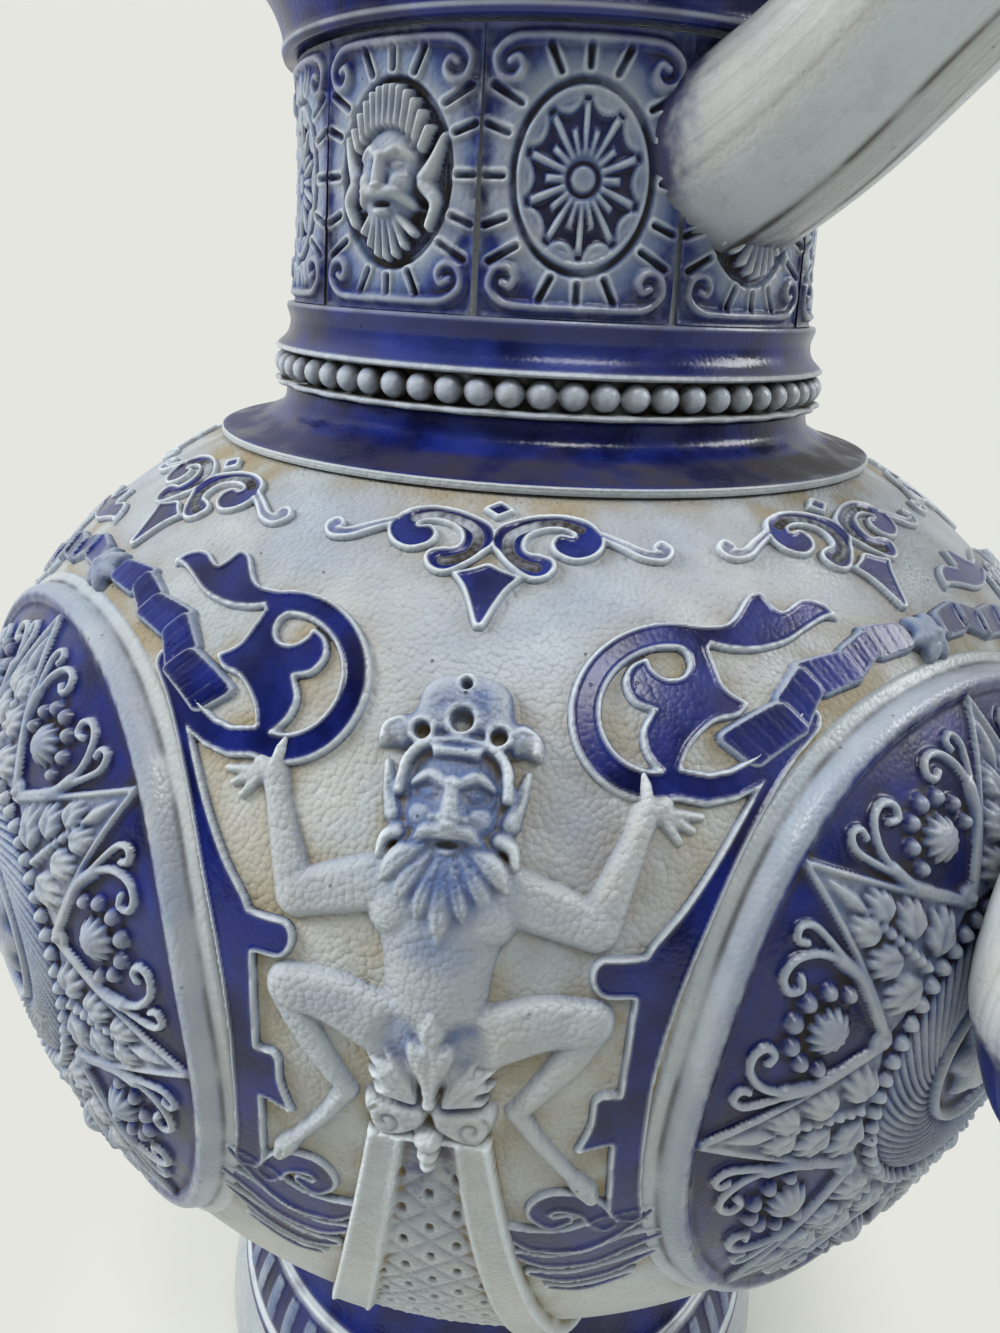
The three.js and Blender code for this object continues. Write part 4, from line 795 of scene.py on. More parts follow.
def strap_field():
    """Strapwork on the right of a figure: scroll, leaf end, heart leaf, stem, knob, barb and foot leaf."""
    f = Field(8, 51, -40, 62, MEDIUM, 1.05, 1.6)
    x, y = f.x, f.y
    band = arc(22.5, 47, 9.1, 66, 284, 40)
    band += [(28.2, 37.4), (31.4, 37.8), (34.6, 39.2), (38.0, 41.4), (41.0, 44.0)]
    scroll = 1.75 - to_line(x, y, band)
    leaf_end = shape(x, y, [(24.6, 57.2), (30, 57.4), (33, 61.2), (35.0, 61.6), (35.0, 61.6), (37.6, 58.6),
                            (41, 60), (44.4, 59.0), (46.8, 56.6), (46.8, 56.6), (44.6, 57.0), (41.4, 55.8),
                            (38, 54.2), (33, 53.6), (28, 54.6)])
    heart = shape(x, y, [(24.4, 38.2), (22.4, 39.6), (20.7, 41.6), (20.1, 44.2), (21.2, 46.6), (21.2, 46.6),
                         (18.9, 47.5), (17.6, 49.8), (18.2, 52.0), (20.2, 53.2), (20.2, 53.2), (20.9, 51.6),
                         (22.6, 50.5), (24.4, 50.6), (25.2, 51.8), (24.9, 53.4), (23.4, 55.0), (25.6, 56.2),
                         (27.4, 54.6), (28.6, 51.8), (30.0, 49.0), (33.0, 47.0), (33.0, 47.0), (31.6, 45.6),
                         (28.6, 45.0), (26.0, 42.6), (25.0, 40.2)])
    stem = shape(x, y, [(42.0, 45.4), (38.6, 43.0), (35.0, 38.4), (33.4, 35.9), (33.4, 35.9), (29.8, 29.8),
                        (26.4, 24.6), (23.4, 21.0), (22.6, 19.6), (22.6, 19.6), (20.2, 19.4), (17.6, 19.2),
                        (16.8, 17.2), (18.2, 15.0), (21.8, 14.8), (21.8, 14.8), (21.5, 9), (21.3, 2.6),
                        (21.3, 2.6), (18.6, 2.2), (18.2, -2), (16.8, -6.2), (16.8, -6.2), (21.0, -4.8),
                        (21.0, -4.8), (21.2, -10), (22.0, -17.5), (25.8, -18.5), (25.3, -12), (25.0, -4),
                        (25.2, 5), (26.8, 14), (29.4, 22), (33.0, 30.7), (37.0, 37.3), (41.0, 42.3)])
    whole = np.maximum.reduce([scroll, leaf_end, heart, stem])
    channel(f, whole, 1.4, 0.78, 0.45)
    for points, radii in FOOT_LEAF:
        line = curve(points)
        widths = np.interp(np.linspace(0, 1, len(line)), np.linspace(0, 1, len(radii)), radii)
        channel(f, limb(x, y, line, widths)[0], 1.3, 0.8, 0.45)
    f.paint(0.5 * (f.height > SUNK), "wash")
    return f


# Folds of the ribbon: start and end in degrees from the top, half-widths there, and slant
RIBBON_FOLDS = [
    (28.5, 39.0, 2.6, 2.9, 2.2), (22.5, 30.0, 2.3, 2.7, -1.8), (15.5, 24.0, 2.4, 2.8, 1.8),
    (10.0, 17.0, 2.0, 2.5, -1.4), (3.5, 11.5, 2.2, 2.8, 1.2),
]
FOLD_CORNER = 1.4
RIBBON_RADIUS = 56.4
BOW_Y = 51.4


def ribbon_field():
    """A folded ribbon round the top of a medallion, tied to a flower boss."""
    f = Field(-40, 40, 36, 58, MEDIUM, 0.12)
    x, y = np.abs(f.x) / MEDALLION_SPREAD, (f.y + MEDALLION_DROP) / MEDALLION_SPREAD
    r = np.hypot(x, y)
    sweep = np.degrees(np.arctan2(x, y))
    # Folds: each length of ribbon slants across the path and tucks under the next one
    for start, end, inner, outer, shift in RIBBON_FOLDS:
        share = (sweep - start) / (end - start)
        middle = RIBBON_RADIUS + shift * (share - 0.5)
        half = inner + (outer - inner) * share
        side, tip = half - np.abs(r - middle), np.minimum(sweep - start, end - sweep) * 0.95
        corner = FOLD_CORNER - np.hypot(FOLD_CORNER - side, FOLD_CORNER - tip)
        band = np.where((side < FOLD_CORNER) & (tip < FOLD_CORNER), corner, np.minimum(side, tip))
        stripe = np.cos(6.4 * sweep + 0.7 * (r - middle)) + 0.6 * np.cos(2.9 * sweep)
        face = 0.7 + 0.8 * np.clip(1 - share, 0, 1) + 0.025 * stripe
        rim = 0.15 * np.clip(1 - ((band - 0.35) / 0.3) ** 2, 0, 1)
        fold = np.where(band > 0, np.minimum(face + rim, band * 4), np.maximum(SUNK, band * WALL_SLOPE))
        top = fold > f.height
        f.blue = np.where(top, smooth((band - 0.4) / 0.4) * np.clip(1.0 + 0.25 * stripe, 0.7, 1), f.blue)
        f.raise_to(fold)
    f.on(0.6, flower(f.x, f.y - BOW_Y, 4.1, 6, 0.14, 2.0))
    f.on(1.6, dome(1.2 - np.hypot(f.x, f.y - BOW_Y), 1.2, 1.5))
    f.spot(f.x, 0, BOW_Y, 3, 3, 0.6)
    f.paint(0.9 * (f.height > 0), "wash")
    return f


def ornament_field():
    """Two C-scrolls back to back with channels darkened by dust and painted shade, curled arms, a lozenge on
    top and a pendant shield.
    """
    f = Field(-25, 25, 54.5, 78.2, FINE, 1.2, 1.5)
    x, y = np.abs(f.x), f.y
    scroll = shape(x, y, [(-0.3, 70.0), (0.5, 72.2), (2.6, 73.6), (5.5, 74.7), (9.0, 74.8), (12.2, 73.4),
                          (13.9, 70.2), (13.0, 67.8), (10.5, 66.8), (8.0, 67.9), (7.2, 69.8), (8.2, 71.2),
                          (9.9, 70.9), (9.3, 72.0), (6.8, 72.1), (4.6, 70.9), (4.0, 69.2), (4.6, 67.9),
                          (6.2, 67.6), (7.8, 66.9), (8.2, 65.6), (7.2, 64.0), (5.2, 63.6), (2.8, 65.2),
                          (1.0, 67.2), (0.0, 68.4)])
    groove = curve([(10.6, 72.4), (8.0, 73.4), (5.0, 72.9), (2.6, 71.4), (1.9, 69.4), (2.6, 67.2),
                    (4.4, 66.0), (5.8, 65.6)])
    arm = curve([(13.2, 71.4), (16.4, 69.7), (19.0, 68.2), (21.4, 67.8), (22.0, 68.7), (21.2, 69.4)])
    reach = limb(x, y, arm, np.linspace(0.6, 1.05, len(arm)))[0]
    lozenge = inside(x, y, [(0, 77.0), (2.1, 75.3), (0, 73.7), (-2.1, 75.3)])
    shield = shape(x, y, mirrored([(0, 65.6), (1.8, 64.7), (4.3, 63.7), (4.3, 63.7), (2.8, 61.8), (1.7, 59.4),
                                   (0.6, 56.5), (0, 56.2)]))
    whole = np.maximum.reduce([scroll, reach, lozenge, shield])
    channel(f, whole, 1.1, 0.5, 0.5)
    dirt_and_shade_share = smooth((0.85 - to_line(x, y, groove)) / 0.25)
    f.height -= 0.4 * dirt_and_shade_share
    for px, py in groove[::3]:
        f.swell(0.3 * smooth((0.6 - np.hypot(x - px, y - py)) / 0.35))
    # Dust and painted shade in the grooves
    f.dust_and_shade = 0.75 * dirt_and_shade_share
    f.blue *= (1 - 0.8 * dirt_and_shade_share) * np.where(reach > np.maximum(scroll, shield), 0.45, 1.0)
    f.paint(0.3 * (whole > -1), "wash")
    return f


# Tiles round the neck

TILE_FACE = 1.0
OVAL_HALF_WIDTH = 9.0
OVAL_HALF_HEIGHT = 11.3


def tile_field():
    """The frame that every tile shares: bars with volutes, and spokes cut as slots round a sunk oval."""
    half = math.pi / PANELS * PANEL_FLOOR_TOP - 0.05
    f = Field(-half, half, 0, PANEL_HEIGHT, FINE, 0.5)
    x, y = np.abs(f.x), np.abs(f.y - PANEL_HEIGHT / 2)
    f.height[:] = TILE_FACE
    oval = np.hypot(x / OVAL_HALF_WIDTH, y / OVAL_HALF_HEIGHT)
    f.on(TILE_FACE, ridge(np.minimum(half - x, PANEL_HEIGHT / 2 - y), 0.5, 0.35))
    bar = curve([(0, 15.9), (6.2, 15.9), (9.6, 15.5), (11.6, 13.6), (11.0, 11.4), (9.2, 11.0), (8.2, 12.2),
                 (8.8, 13.4), (9.8, 13.0)])
    f.on(TILE_FACE, ridge(to_line(x, y, bar), 0.85, 0.95))
    f.blue[:] = 0.62 * smooth((oval - 1.15) / 0.35)
    slots = np.full(x.shape, np.inf)
    for foot, tip in (((0, 12.8), (0, 15.0)), ((3.5, 12.1), (4.9, 14.9)), ((8.2, 8.4), (11.8, 10.4)),
                      ((9.8, 5.0), (12.5, 6.0)), ((10.3, 0), (12.6, 0))):
        slots = np.minimum(slots, to_line(x, y, [foot, tip]))
    f.on(TILE_FACE, ridge(np.abs(slots - 0.62), 0.4, 0.55))
    f.height -= ridge(slots, 0.55, 0.75)
    f.height -= ridge((oval - 1.01) * OVAL_HALF_WIDTH, 0.55, 1.0)
    f.paint(0.8 + 0 * x, "wash")
    return f, oval


def rosette_field():
    """Crescents and tapering rays round a button, in a sunk oval with a raised ring."""
    f, reach = tile_field()
    x, y = f.x, f.y - PANEL_HEIGHT / 2
    angle = np.arctan2(y / OVAL_HALF_HEIGHT, x / OVAL_HALF_WIDTH)
    scale = OVAL_HALF_WIDTH * 1.08
    f.height = np.where(reach < 0.93, 0.15, f.height)
    f.on(0.3, ridge(np.abs(reach - 0.92) * scale, 0.6, 0.9))
    wedge = 2 * math.pi / 10
    local = np.mod(angle + math.pi / 2, wedge) - wedge / 2
    u, v = reach * np.cos(local), reach * np.sin(local)
    shell = np.minimum(0.26 - np.hypot(u - 0.95, v), 0.9 - reach) * scale
    f.on(0.15, dome(shell, 0.5, 0.85) - 0.4 * smooth((shell - 0.5) / 0.8))
    thin = np.mod(angle + math.pi / 2 + wedge / 4, wedge / 2) - wedge / 4
    blade = 0.045 + 0.02 * (reach - 0.2) - np.abs(reach * np.sin(thin))
    end = np.minimum(reach - 0.2, np.where(np.abs(local) < wedge / 4, 0.56, 0.82) - reach)
    f.on(0.15, dome(np.minimum(blade, end * 0.3) * scale, 0.35, 0.9))
    button = np.hypot(x, y)
    f.on(0.15, dome(2.9 - button, 1.2, 0.8))
    f.height -= ridge(button - 1.95, 0.45, 0.8)
    low = smooth((0.55 - f.height) / 0.4)
    f.paint(low * (reach < 0.95))
    f.wash = np.where(reach < 1.0, 1.0, f.wash)
    return f


def mask_field():
    """A generic smiling mask with fluted hair, pointed ears, drooping moustache and a short beard."""
    f, oval = tile_field()
    x, y = np.abs(f.x), f.y
    inner = oval < 0.98
    f.height = np.where(inner, 0.0, f.height)
    for k in range(6):
        hx = 0.5 + 1.0 * k
        low, high = (hx * 0.95, 23.4 - 0.12 * k * k), (hx * 1.12, 27.8 - 0.2 * k * k)
        f.on(0.8, taper(x, y, [low, high], [0.65, 0.6], 1.9))
    f.raise_to(dome(disc(x, y, 0, 16.6, 5.6, 7.4), 4.8, 3.4))
    f.on(0.4, horn(x, y, [(5.8, 16.8), (7.0, 19.0), (8.2, 22.0)], 1.5, 0.5, 2.2))
    f.on(0.4, horn(x, y, [(5.8, 16.0), (7.4, 13.8), (6.4, 11.0)], 1.4, 0.7, 2.2))
    f.swell(horn(x, y, [(0.8, 19.6), (2.4, 20.4), (4.2, 19.2)], 0.65, 0.5, 0.7))
    f.cut(disc(x, y, 2.3, 18.3, 1.7, 1.0), 0.7, 0.7)
    f.swell(dome(disc(x, y, 2.3, 18.25, 1.1, 0.6), 0.6, 0.7))
    f.swell(horn(x, y, [(0, 19.6), (0, 18.0), (0, 16.3)], 0.6, 1.15, 1.3))
    f.swell(dome(disc(x, y, 3.0, 16.0, 1.6, 1.4), 1.4, 0.7))
    f.swell(horn(x, y, [(0.3, 15.0), (2.4, 14.7), (4.4, 13.4), (5.8, 12.9)], 1.0, 0.5, 1.1))
    f.cut(disc(x, y, 0, 13.4, 2.0, 0.5), 0.9, 0.35)
    f.swell(dome(disc(x, y, 0, 12.5, 1.6, 0.65), 0.65, 0.7))
    for tip in ((0, 6.9), (1.5, 7.3), (2.9, 8.4), (4.2, 10.0)):
        f.on(0.6, taper(x, y, [(tip[0] * 0.55, 12.0), tip], [0.85, 0.6], 2.0))
    low = smooth((0.6 - f.height) / 0.4)
    f.paint(0.7 * low * inner)
    f.wash = np.where(inner & (f.height > 0.5), 0.65, f.wash)
    return f


# Sprigs set round the belly and tiles round the neck

def mirror_field(field):
    """The same relief, left for right."""
    out = copy.copy(field)
    out.x = -field.x[:, ::-1]
    for key in ("height", "blue", "wash", "dust_and_shade"):
        setattr(out, key, getattr(field, key)[:, ::-1])
    return out


SECTOR = 2 * math.pi / SECTORS
strap = strap_field()
sprigs = [
    # name, field, slot, turn of the first one, turn between two
    ("medallion", medallion_field(), "blue_wash", 0, SECTOR),
    ("satyr", satyr_field(), "grey_glaze", SECTOR / 2, SECTOR),
    ("pedestal", pedestal_field(), "grey_glaze", SECTOR / 2, SECTOR),
    ("strapwork_left", strap, "cobalt_glaze", -SECTOR / 2, SECTOR),
    ("strapwork_right", mirror_field(strap), "cobalt_glaze", SECTOR / 2, SECTOR),
    ("ribbon", ribbon_field(), "cobalt_glaze", 0, SECTOR),
    ("shoulder_scroll", ornament_field(), "cobalt_glaze", 0, SECTOR / 2),
]
placed = []
for name, field, slot, first, apart in sprigs:
    mesh = relief_mesh(name, belly, field)
    for i in range(round(2 * math.pi / apart)):
        turn = first + apart * i
        add_piece(f"{name}_relief_{i + 1}", mesh, slot, f"{name}_{i + 1}", turn)
        placed.append((field, turn))

tiles = {
    "mask_panel": relief_mesh("mask_panel", panel_wall, mask_field()),
    "rosette_panel": relief_mesh("rosette_panel", panel_wall, rosette_field()),
}
for i in range(PANELS):
    name = "mask_panel" if i % 2 == 0 else "rosette_panel"
    turn = 2 * math.pi / PANELS * i
    add_piece(f"{name}_relief_{i + 1}", tiles[name], "blue_wash", f"{name}_{i + 1}", turn)


# Thrown walls

BELLY_WALL = 7.0
BELLY_ROWS = 170
BELLY_COLUMNS = 540
TONGUES = 56
BAND_LOW = 22.0
BAND_HIGH = 34.6
WALL_COLUMNS = 384


def mask_between(value, low, high, soft=0.4):
    return smooth((value - low) / soft + 0.5) * smooth((high - value) / soft + 0.5)


def section(base, points, steps):
    """A smooth closed section, its heights counted from the base."""
    return curve([(r, base + z) for r, z in points], closed=True, steps=steps)


def thrown(name, outline, columns, slot, node, paint, lift=None):
    """Turns a closed section, listed up the outside and down the inside, round the axis."""
    turn = np.linspace(0, 2 * math.pi, columns, endpoint=False)[None, :]
    r, z = outline[:, :1] + 0 * turn, outline[:, 1:] + 0 * turn
    turn = turn + 0 * r
    if lift:
        r = r + lift(turn, r, z)
    marks = {key: 0 * r for key in ("blue", "wash", "pale", "dirt_and_shade")}
    marks.update(paint(turn, r, z))
    points = np.stack([r * np.cos(turn), r * np.sin(turn), np.maximum(z, 0)], axis=-1)
    add_piece(name, ring_mesh(name, points, marks), slot, node)


def footprints(turn, along):
    """Where the sprigs stand on the belly."""
    cover = np.zeros(turn.shape)
    for field, at in placed:
        x = (np.mod(turn - at + math.pi, 2 * math.pi) - math.pi) * belly.radius(along)
        column = np.round((x - field.x[0, 0]) / field.step).astype(int)
        row = np.round((along - field.y[0, 0]) / field.step).astype(int)
        rows, columns = field.x.shape
        near = (row >= 0) & (row < rows) & (column >= 0) & (column < columns)
        height = field.height[np.clip(row, 0, rows - 1), np.clip(column, 0, columns - 1)]
        cover = np.maximum(cover, near & (height > -0.2))
    return cover


outer_along = np.linspace(belly.along[0], belly.along[-1], BELLY_ROWS)
inner_along = np.linspace(belly.along[-1], belly.along[0], 30)
outer_wall = belly.place(0 * outer_along, outer_along, 0 * outer_along)[:, ::2]
inner_wall = belly.place(0 * inner_along, inner_along, 0 * inner_along - BELLY_WALL)[:, ::2]
inner_wall[0, 1], inner_wall[-1, 1] = outer_wall[-1, 1], outer_wall[0, 1]


def paint_belly(turn, r, z):
    cover = np.zeros(r.shape)
    cover[:BELLY_ROWS] = footprints(turn[:BELLY_ROWS], np.repeat(outer_along[:, None], BELLY_COLUMNS, axis=1))
    halo, wide = (blur(np.pad(cover, ((0, 0), (24, 24)), mode="wrap"), cells)[:, 24:-24] for cells in (2, 5))
    top = smooth((z - SHOULDER_Z + 4) / 4)
    beside = np.mod(turn, SECTOR) - SECTOR / 2
    blush = np.exp(-((beside - 0.17) / 0.1) ** 2 - ((z - BELLY_CENTRE - 28) / 16) ** 2)
    return {
        # Dirt and painted shade: a halo round every sprig, and a darker band just under the shoulder ring
        "dirt_and_shade": 0.7 * halo + 0.15 * wide + 0.5 * top,
        "wash": np.maximum(0.3 * smooth((z - BELLY_CENTRE - 20) / 40), 0.4 * blush),
    }


thrown("belly_wall", np.concatenate([outer_wall, inner_wall]), BELLY_COLUMNS, "grey_glaze", "belly",
       paint_belly)

foot_section = section(0, [(64.9, 0), (64.9, 0), (66.9, 2.9), (66.6, 9.5), (65.2, 14.6), (63.6, 17.2),
                           (62.9, 18.6), (63.3, 20.2), (62.6, 21.4), (62.2, 22.0), (62.2, 22.0),
                           (60.4, 28.6), (57.6, 34.6), (57.6, 34.6), (57.5, 36.0), (56.2, 36.6),
                           (53.6, 40.6), (50.7, 47), (50.0, 52), (50.3, 59), (51.5, 66), (51.5, 66),
                           (43.5, 66), (43.5, 66), (42, 51), (46, 30), (54.1, 9.3), (54.1, 9.3),
                           (58.9, 9.3), (58.9, 9.3), (58.9, 0), (58.9, 0)], 5)


def tongue(turn, z):
    """Upright rounded bars round the sloping band of the foot."""
    across = np.abs(np.mod(turn * TONGUES / (2 * math.pi), 1) - 0.5)
    return smooth((0.28 - across) / 0.1) * mask_between(z, BAND_LOW + 1.6, BAND_HIGH - 1.2, 1.2)


def paint_foot(turn, r, z):
    outside = r > 49.5
    raised = tongue(turn, z)
    band = mask_between(z, BAND_LOW, BAND_HIGH)
    edges = np.maximum(mask_between(z, 34.6, 36.4, 0.6), 0.9 * mask_between(z, 20.8, 22.2, 0.6))
    return {
        "blue": outside * np.maximum(mask_between(z, 18.0, FOOT_HEIGHT, 1), 0.9 * band) * (1 - raised),
        "wash": outside * 0.8 * raised,
        "pale": outside * edges,
        # Dirt and painted shade between the tongues and round the bottom edge
        "dirt_and_shade": outside * np.maximum(0.35 * band * (1 - raised), 0.8 * mask_between(z, -1, 1.5, 2)),
    }


thrown("foot_wall", foot_section, 672, "cobalt_glaze", "foot", paint_foot,
       lambda turn, r, z: np.where(r > 55, 0.75 * tongue(turn, z), 0))

ring_section = section(RING_Z, [(57.5, 0), (57.5, 0), (57.6, 0.6), (57.2, 1.2), (53.6, 2.0), (49.4, 3.6),
                                (46.9, 5.2), (46.3, RING_HEIGHT), (46.3, RING_HEIGHT),
                                (BORE_RADIUS, RING_HEIGHT), (BORE_RADIUS, RING_HEIGHT), (47.2, 0),
                                (47.2, 0)], 8)


def paint_ring(turn, r, z):
    outside = r > 46
    edge = mask_between(r, 57.35, 60, 0.3)
    # Dust on the sloping top, with painted shade that is heaviest on one side of the ring
    dust_and_shade = 0.5 + 0.5 * np.sin(turn + 0.9)
    return {"blue": outside * (1 - edge), "pale": outside * 0.2 * edge,
            "dirt_and_shade": outside * (0.4 + 0.4 * dust_and_shade) * mask_between(r, 50.0, 57.2, 2.5)}


thrown("shoulder_ring_wall", ring_section, WALL_COLUMNS, "cobalt_glaze", "shoulder_ring", paint_ring)

PANEL_TOP = NECK_BASE_HEIGHT + PANEL_HEIGHT
neck_section = section(NECK_Z, [(46.2, 0), (46.2, 0), (47.7, 0.1), (48.0, 0.6), (47.3, 1.0), (45.4, 1.3),
                                (45.4, 5.1), (47.3, 5.5), (48.0, 5.9), (47.5, 6.5), (46.0, 8.0),
                                (45.4, 10.0), (45.9, 12.2), (45.7, 12.9), (45.7, 12.9),
                                (PANEL_FLOOR_BOTTOM, NECK_BASE_HEIGHT),
                                (PANEL_FLOOR_BOTTOM, NECK_BASE_HEIGHT), (PANEL_FLOOR_TOP, PANEL_TOP),
                                (PANEL_FLOOR_TOP, PANEL_TOP), (BORE_RADIUS, PANEL_TOP),
                                (BORE_RADIUS, PANEL_TOP), (BORE_RADIUS, 0), (BORE_RADIUS, 0)], 6)


def paint_neck(turn, r, z):
    outside = r > 44.5
    up = z - NECK_Z
    lips = mask_between(up, -1, 0.9, 0.3) + mask_between(up, 5.5, 6.5, 0.5)
    return {
        "blue": outside * np.maximum(mask_between(up, 6.4, NECK_BASE_HEIGHT + 1, 0.5), 0.35 * lips),
        "pale": outside * 0.25 * np.maximum(lips, mask_between(up, 12.4, NECK_BASE_HEIGHT + 1, 0.4)),
        # Dirt and painted shade in the groove behind the beads
        "dirt_and_shade": outside * mask_between(up, 0.9, 5.6, 0.3),
    }


def nick_lip(turn, r, z):
    """The lower lip of the bead groove, a little uneven."""
    return np.where((z < NECK_Z + 0.9) & (r > 46), 0.35 * np.sin(turn * BEADS / 2 + np.sin(5 * turn)), 0)


thrown("neck_wall", neck_section, WALL_COLUMNS, "cobalt_glaze", "neck", paint_neck, nick_lip)

rim_section = section(RIM_Z, [
    (45.2, 0), (45.2, 0), (45.5, 1.1), (45.2, 2.2), (45.7, 4.5), (47.2, 7.7), (50.6, 12.4), (50.8, 12.9),
    (50.8, 12.9), (52.6, 13.6), (53.4, 16.2), (53.2, 19.0), (52.2, 21.2), (50.0, RIM_HEIGHT), (47.6, 21.6),
    (45.6, 19.4), (41.6, 15.4), (38.2, 10), (BORE_RADIUS, 6), (BORE_RADIUS, 0), (BORE_RADIUS, 0),
], 7)


def paint_rim(turn, r, z):
    outside = r > 41
    up = z - RIM_Z
    edges = np.maximum(0.5 * mask_between(up, 0.7, 1.2), 0.6 * mask_between(up, 12.5, 13.4))
    return {
        "blue": outside * np.maximum(mask_between(up, -1, 12.4), 0.9 * mask_between(up, 14, 19.5, 2)),
        "pale": (r > 44.8) * edges,
        "wash": 0.3 * outside,
    }


thrown("rim_wall", rim_section, WALL_COLUMNS, "cobalt_glaze", "rim", paint_rim)

slab_section = section(0, [(2, 0), (2, 0), (58.2, 0), (58.2, 0), (58.6, 0.6), (58.6, 8.4), (58.0, 9.0),
                           (58.0, 9.0), (40, 8.7), (2, 8.5), (2, 8.5)], 6)
# Darker towards the slab's outer edge, in the corner against the foot
thrown("base_slab_clay", slab_section, 192, "bare_clay", "base_slab",
       lambda turn, r, z: {"dirt_and_shade": 0.5 * mask_between(r, 52, 60, 6)})


# Bead string

BEAD_STEPS = 10
BEAD_RADIUS = 2.2
BEAD_RING = 46.1
BEAD_Z = NECK_Z + 3.2


def make_beads():
    """One closed string: its section swells and shrinks along each bead."""
    steps = np.arange(BEADS * BEAD_STEPS) / BEAD_STEPS
    turn = steps / BEADS * 2 * math.pi
    share = 2 * np.mod(steps, 1) - 1
    swell = np.maximum(np.sqrt(np.clip(1 - (share * 1.02) ** 2, 0, 1)), 0.25)[None, :]
    around = np.linspace(0, 2 * math.pi, 16, endpoint=False)[:, None] - math.pi / 2
    r = BEAD_RING + BEAD_RADIUS * swell * np.cos(around)
    z = BEAD_Z + 2.05 * swell * np.sin(around)
    gap = (1 - swell) + 0 * around
    marks = {
        "blue": 0 * gap,
        "wash": 0.45 + 0 * gap,
        # A pale band painted along each bead's outer face: a painted highlight
        "pale": 0.35 * (np.cos(around) > 0.8) * (swell > 0.85),
        # Dirt and painted shade between the beads and where they meet the groove
        "dirt_and_shade": 1.4 * gap + 0.5 * (np.abs(np.sin(around)) > 0.75),
    }
    return ring_mesh("bead_string_beads", np.stack([r * np.cos(turn), r * np.sin(turn), z], axis=-1), marks)


add_piece("bead_string_beads", make_beads(), "plain_glaze", "bead_string")


# Handle

HANDLE_WIDTH = 30.0
HANDLE_THICKNESS = 21.0
HANDLE_REACH = 138.5
HANDLE_ROWS = 300
ROOT_DEPTH = 40.6
ROOT_Z = 262.25
CROWN_Z = 289.6
OUT_Z = 247.9
TAIL_ALONG = 20.0

T = HANDLE_THICKNESS
tail_z = np.interp(TAIL_ALONG, belly.along, belly.z)
tail_out = belly.radius(TAIL_ALONG) + T / 2
middle_r = (PANEL_FLOOR_BOTTOM + HANDLE_REACH) / 2
curl_r, curl_z = tail_out + 0.48 * T, tail_z - 0.82 * T
# Radius, height, and the shares of the full thickness and width
handle_line = curve([
    (PANEL_FLOOR_BOTTOM - 1.1 * T, ROOT_Z - 0.6 * T, 1.3, 1.25),
    (PANEL_FLOOR_BOTTOM - 0.3 * T, ROOT_Z - 0.16 * T, 1.22, 1.2),
    (PANEL_FLOOR_BOTTOM + 0.42 * T, ROOT_Z + 0.22 * T, 1.1, 1.08),
    (middle_r - 0.5 * T, CROWN_Z - 0.22 * T, 0.8, 1),
    (middle_r + 0.75 * T, CROWN_Z - 0.04 * T, 0.88, 1),
    (HANDLE_REACH - 0.35 * T, (CROWN_Z + OUT_Z) / 2 + 0.35 * T, 1, 1),
    (HANDLE_REACH, OUT_Z, 1, 1),
    (HANDLE_REACH - 0.5 * T, (OUT_Z + tail_z) / 2, 1, 1),
    (tail_out + 0.2 * T, tail_z + 0.7 * T, 1, 1.2),
    (tail_out + 0.04 * T, tail_z - 0.2 * T, 0.95, 1.36),
    (curl_r - 8.6, curl_z + 5.6, 0.75, 1.38),
    (curl_r - 6.2, curl_z - 1.0, 0.5, 1.36),
    (curl_r - 0.4, curl_z - 4.9, 0.32, 1.32),
    (curl_r + 4.6, curl_z - 1.4, 0.28, 1.3),
    (curl_r + 4.4, curl_z + 3.4, 0.25, 1.28),
    (curl_r + 0.8, curl_z + 4.8, 0.22, 1.26),
    (curl_r - 1.4, curl_z + 1.8, 0.18, 1.24),
], steps=20)
handle_section = curve(mirrored([
    (0, -0.47), (0.25, -0.46), (0.25, -0.46), (0.5, -0.41), (0.78, -0.28), (0.94, -0.12), (1.0, 0.06),
    (0.95, 0.22), (0.8, 0.36), (0.5, 0.46), (0, 0.5),
]), closed=True, steps=3)


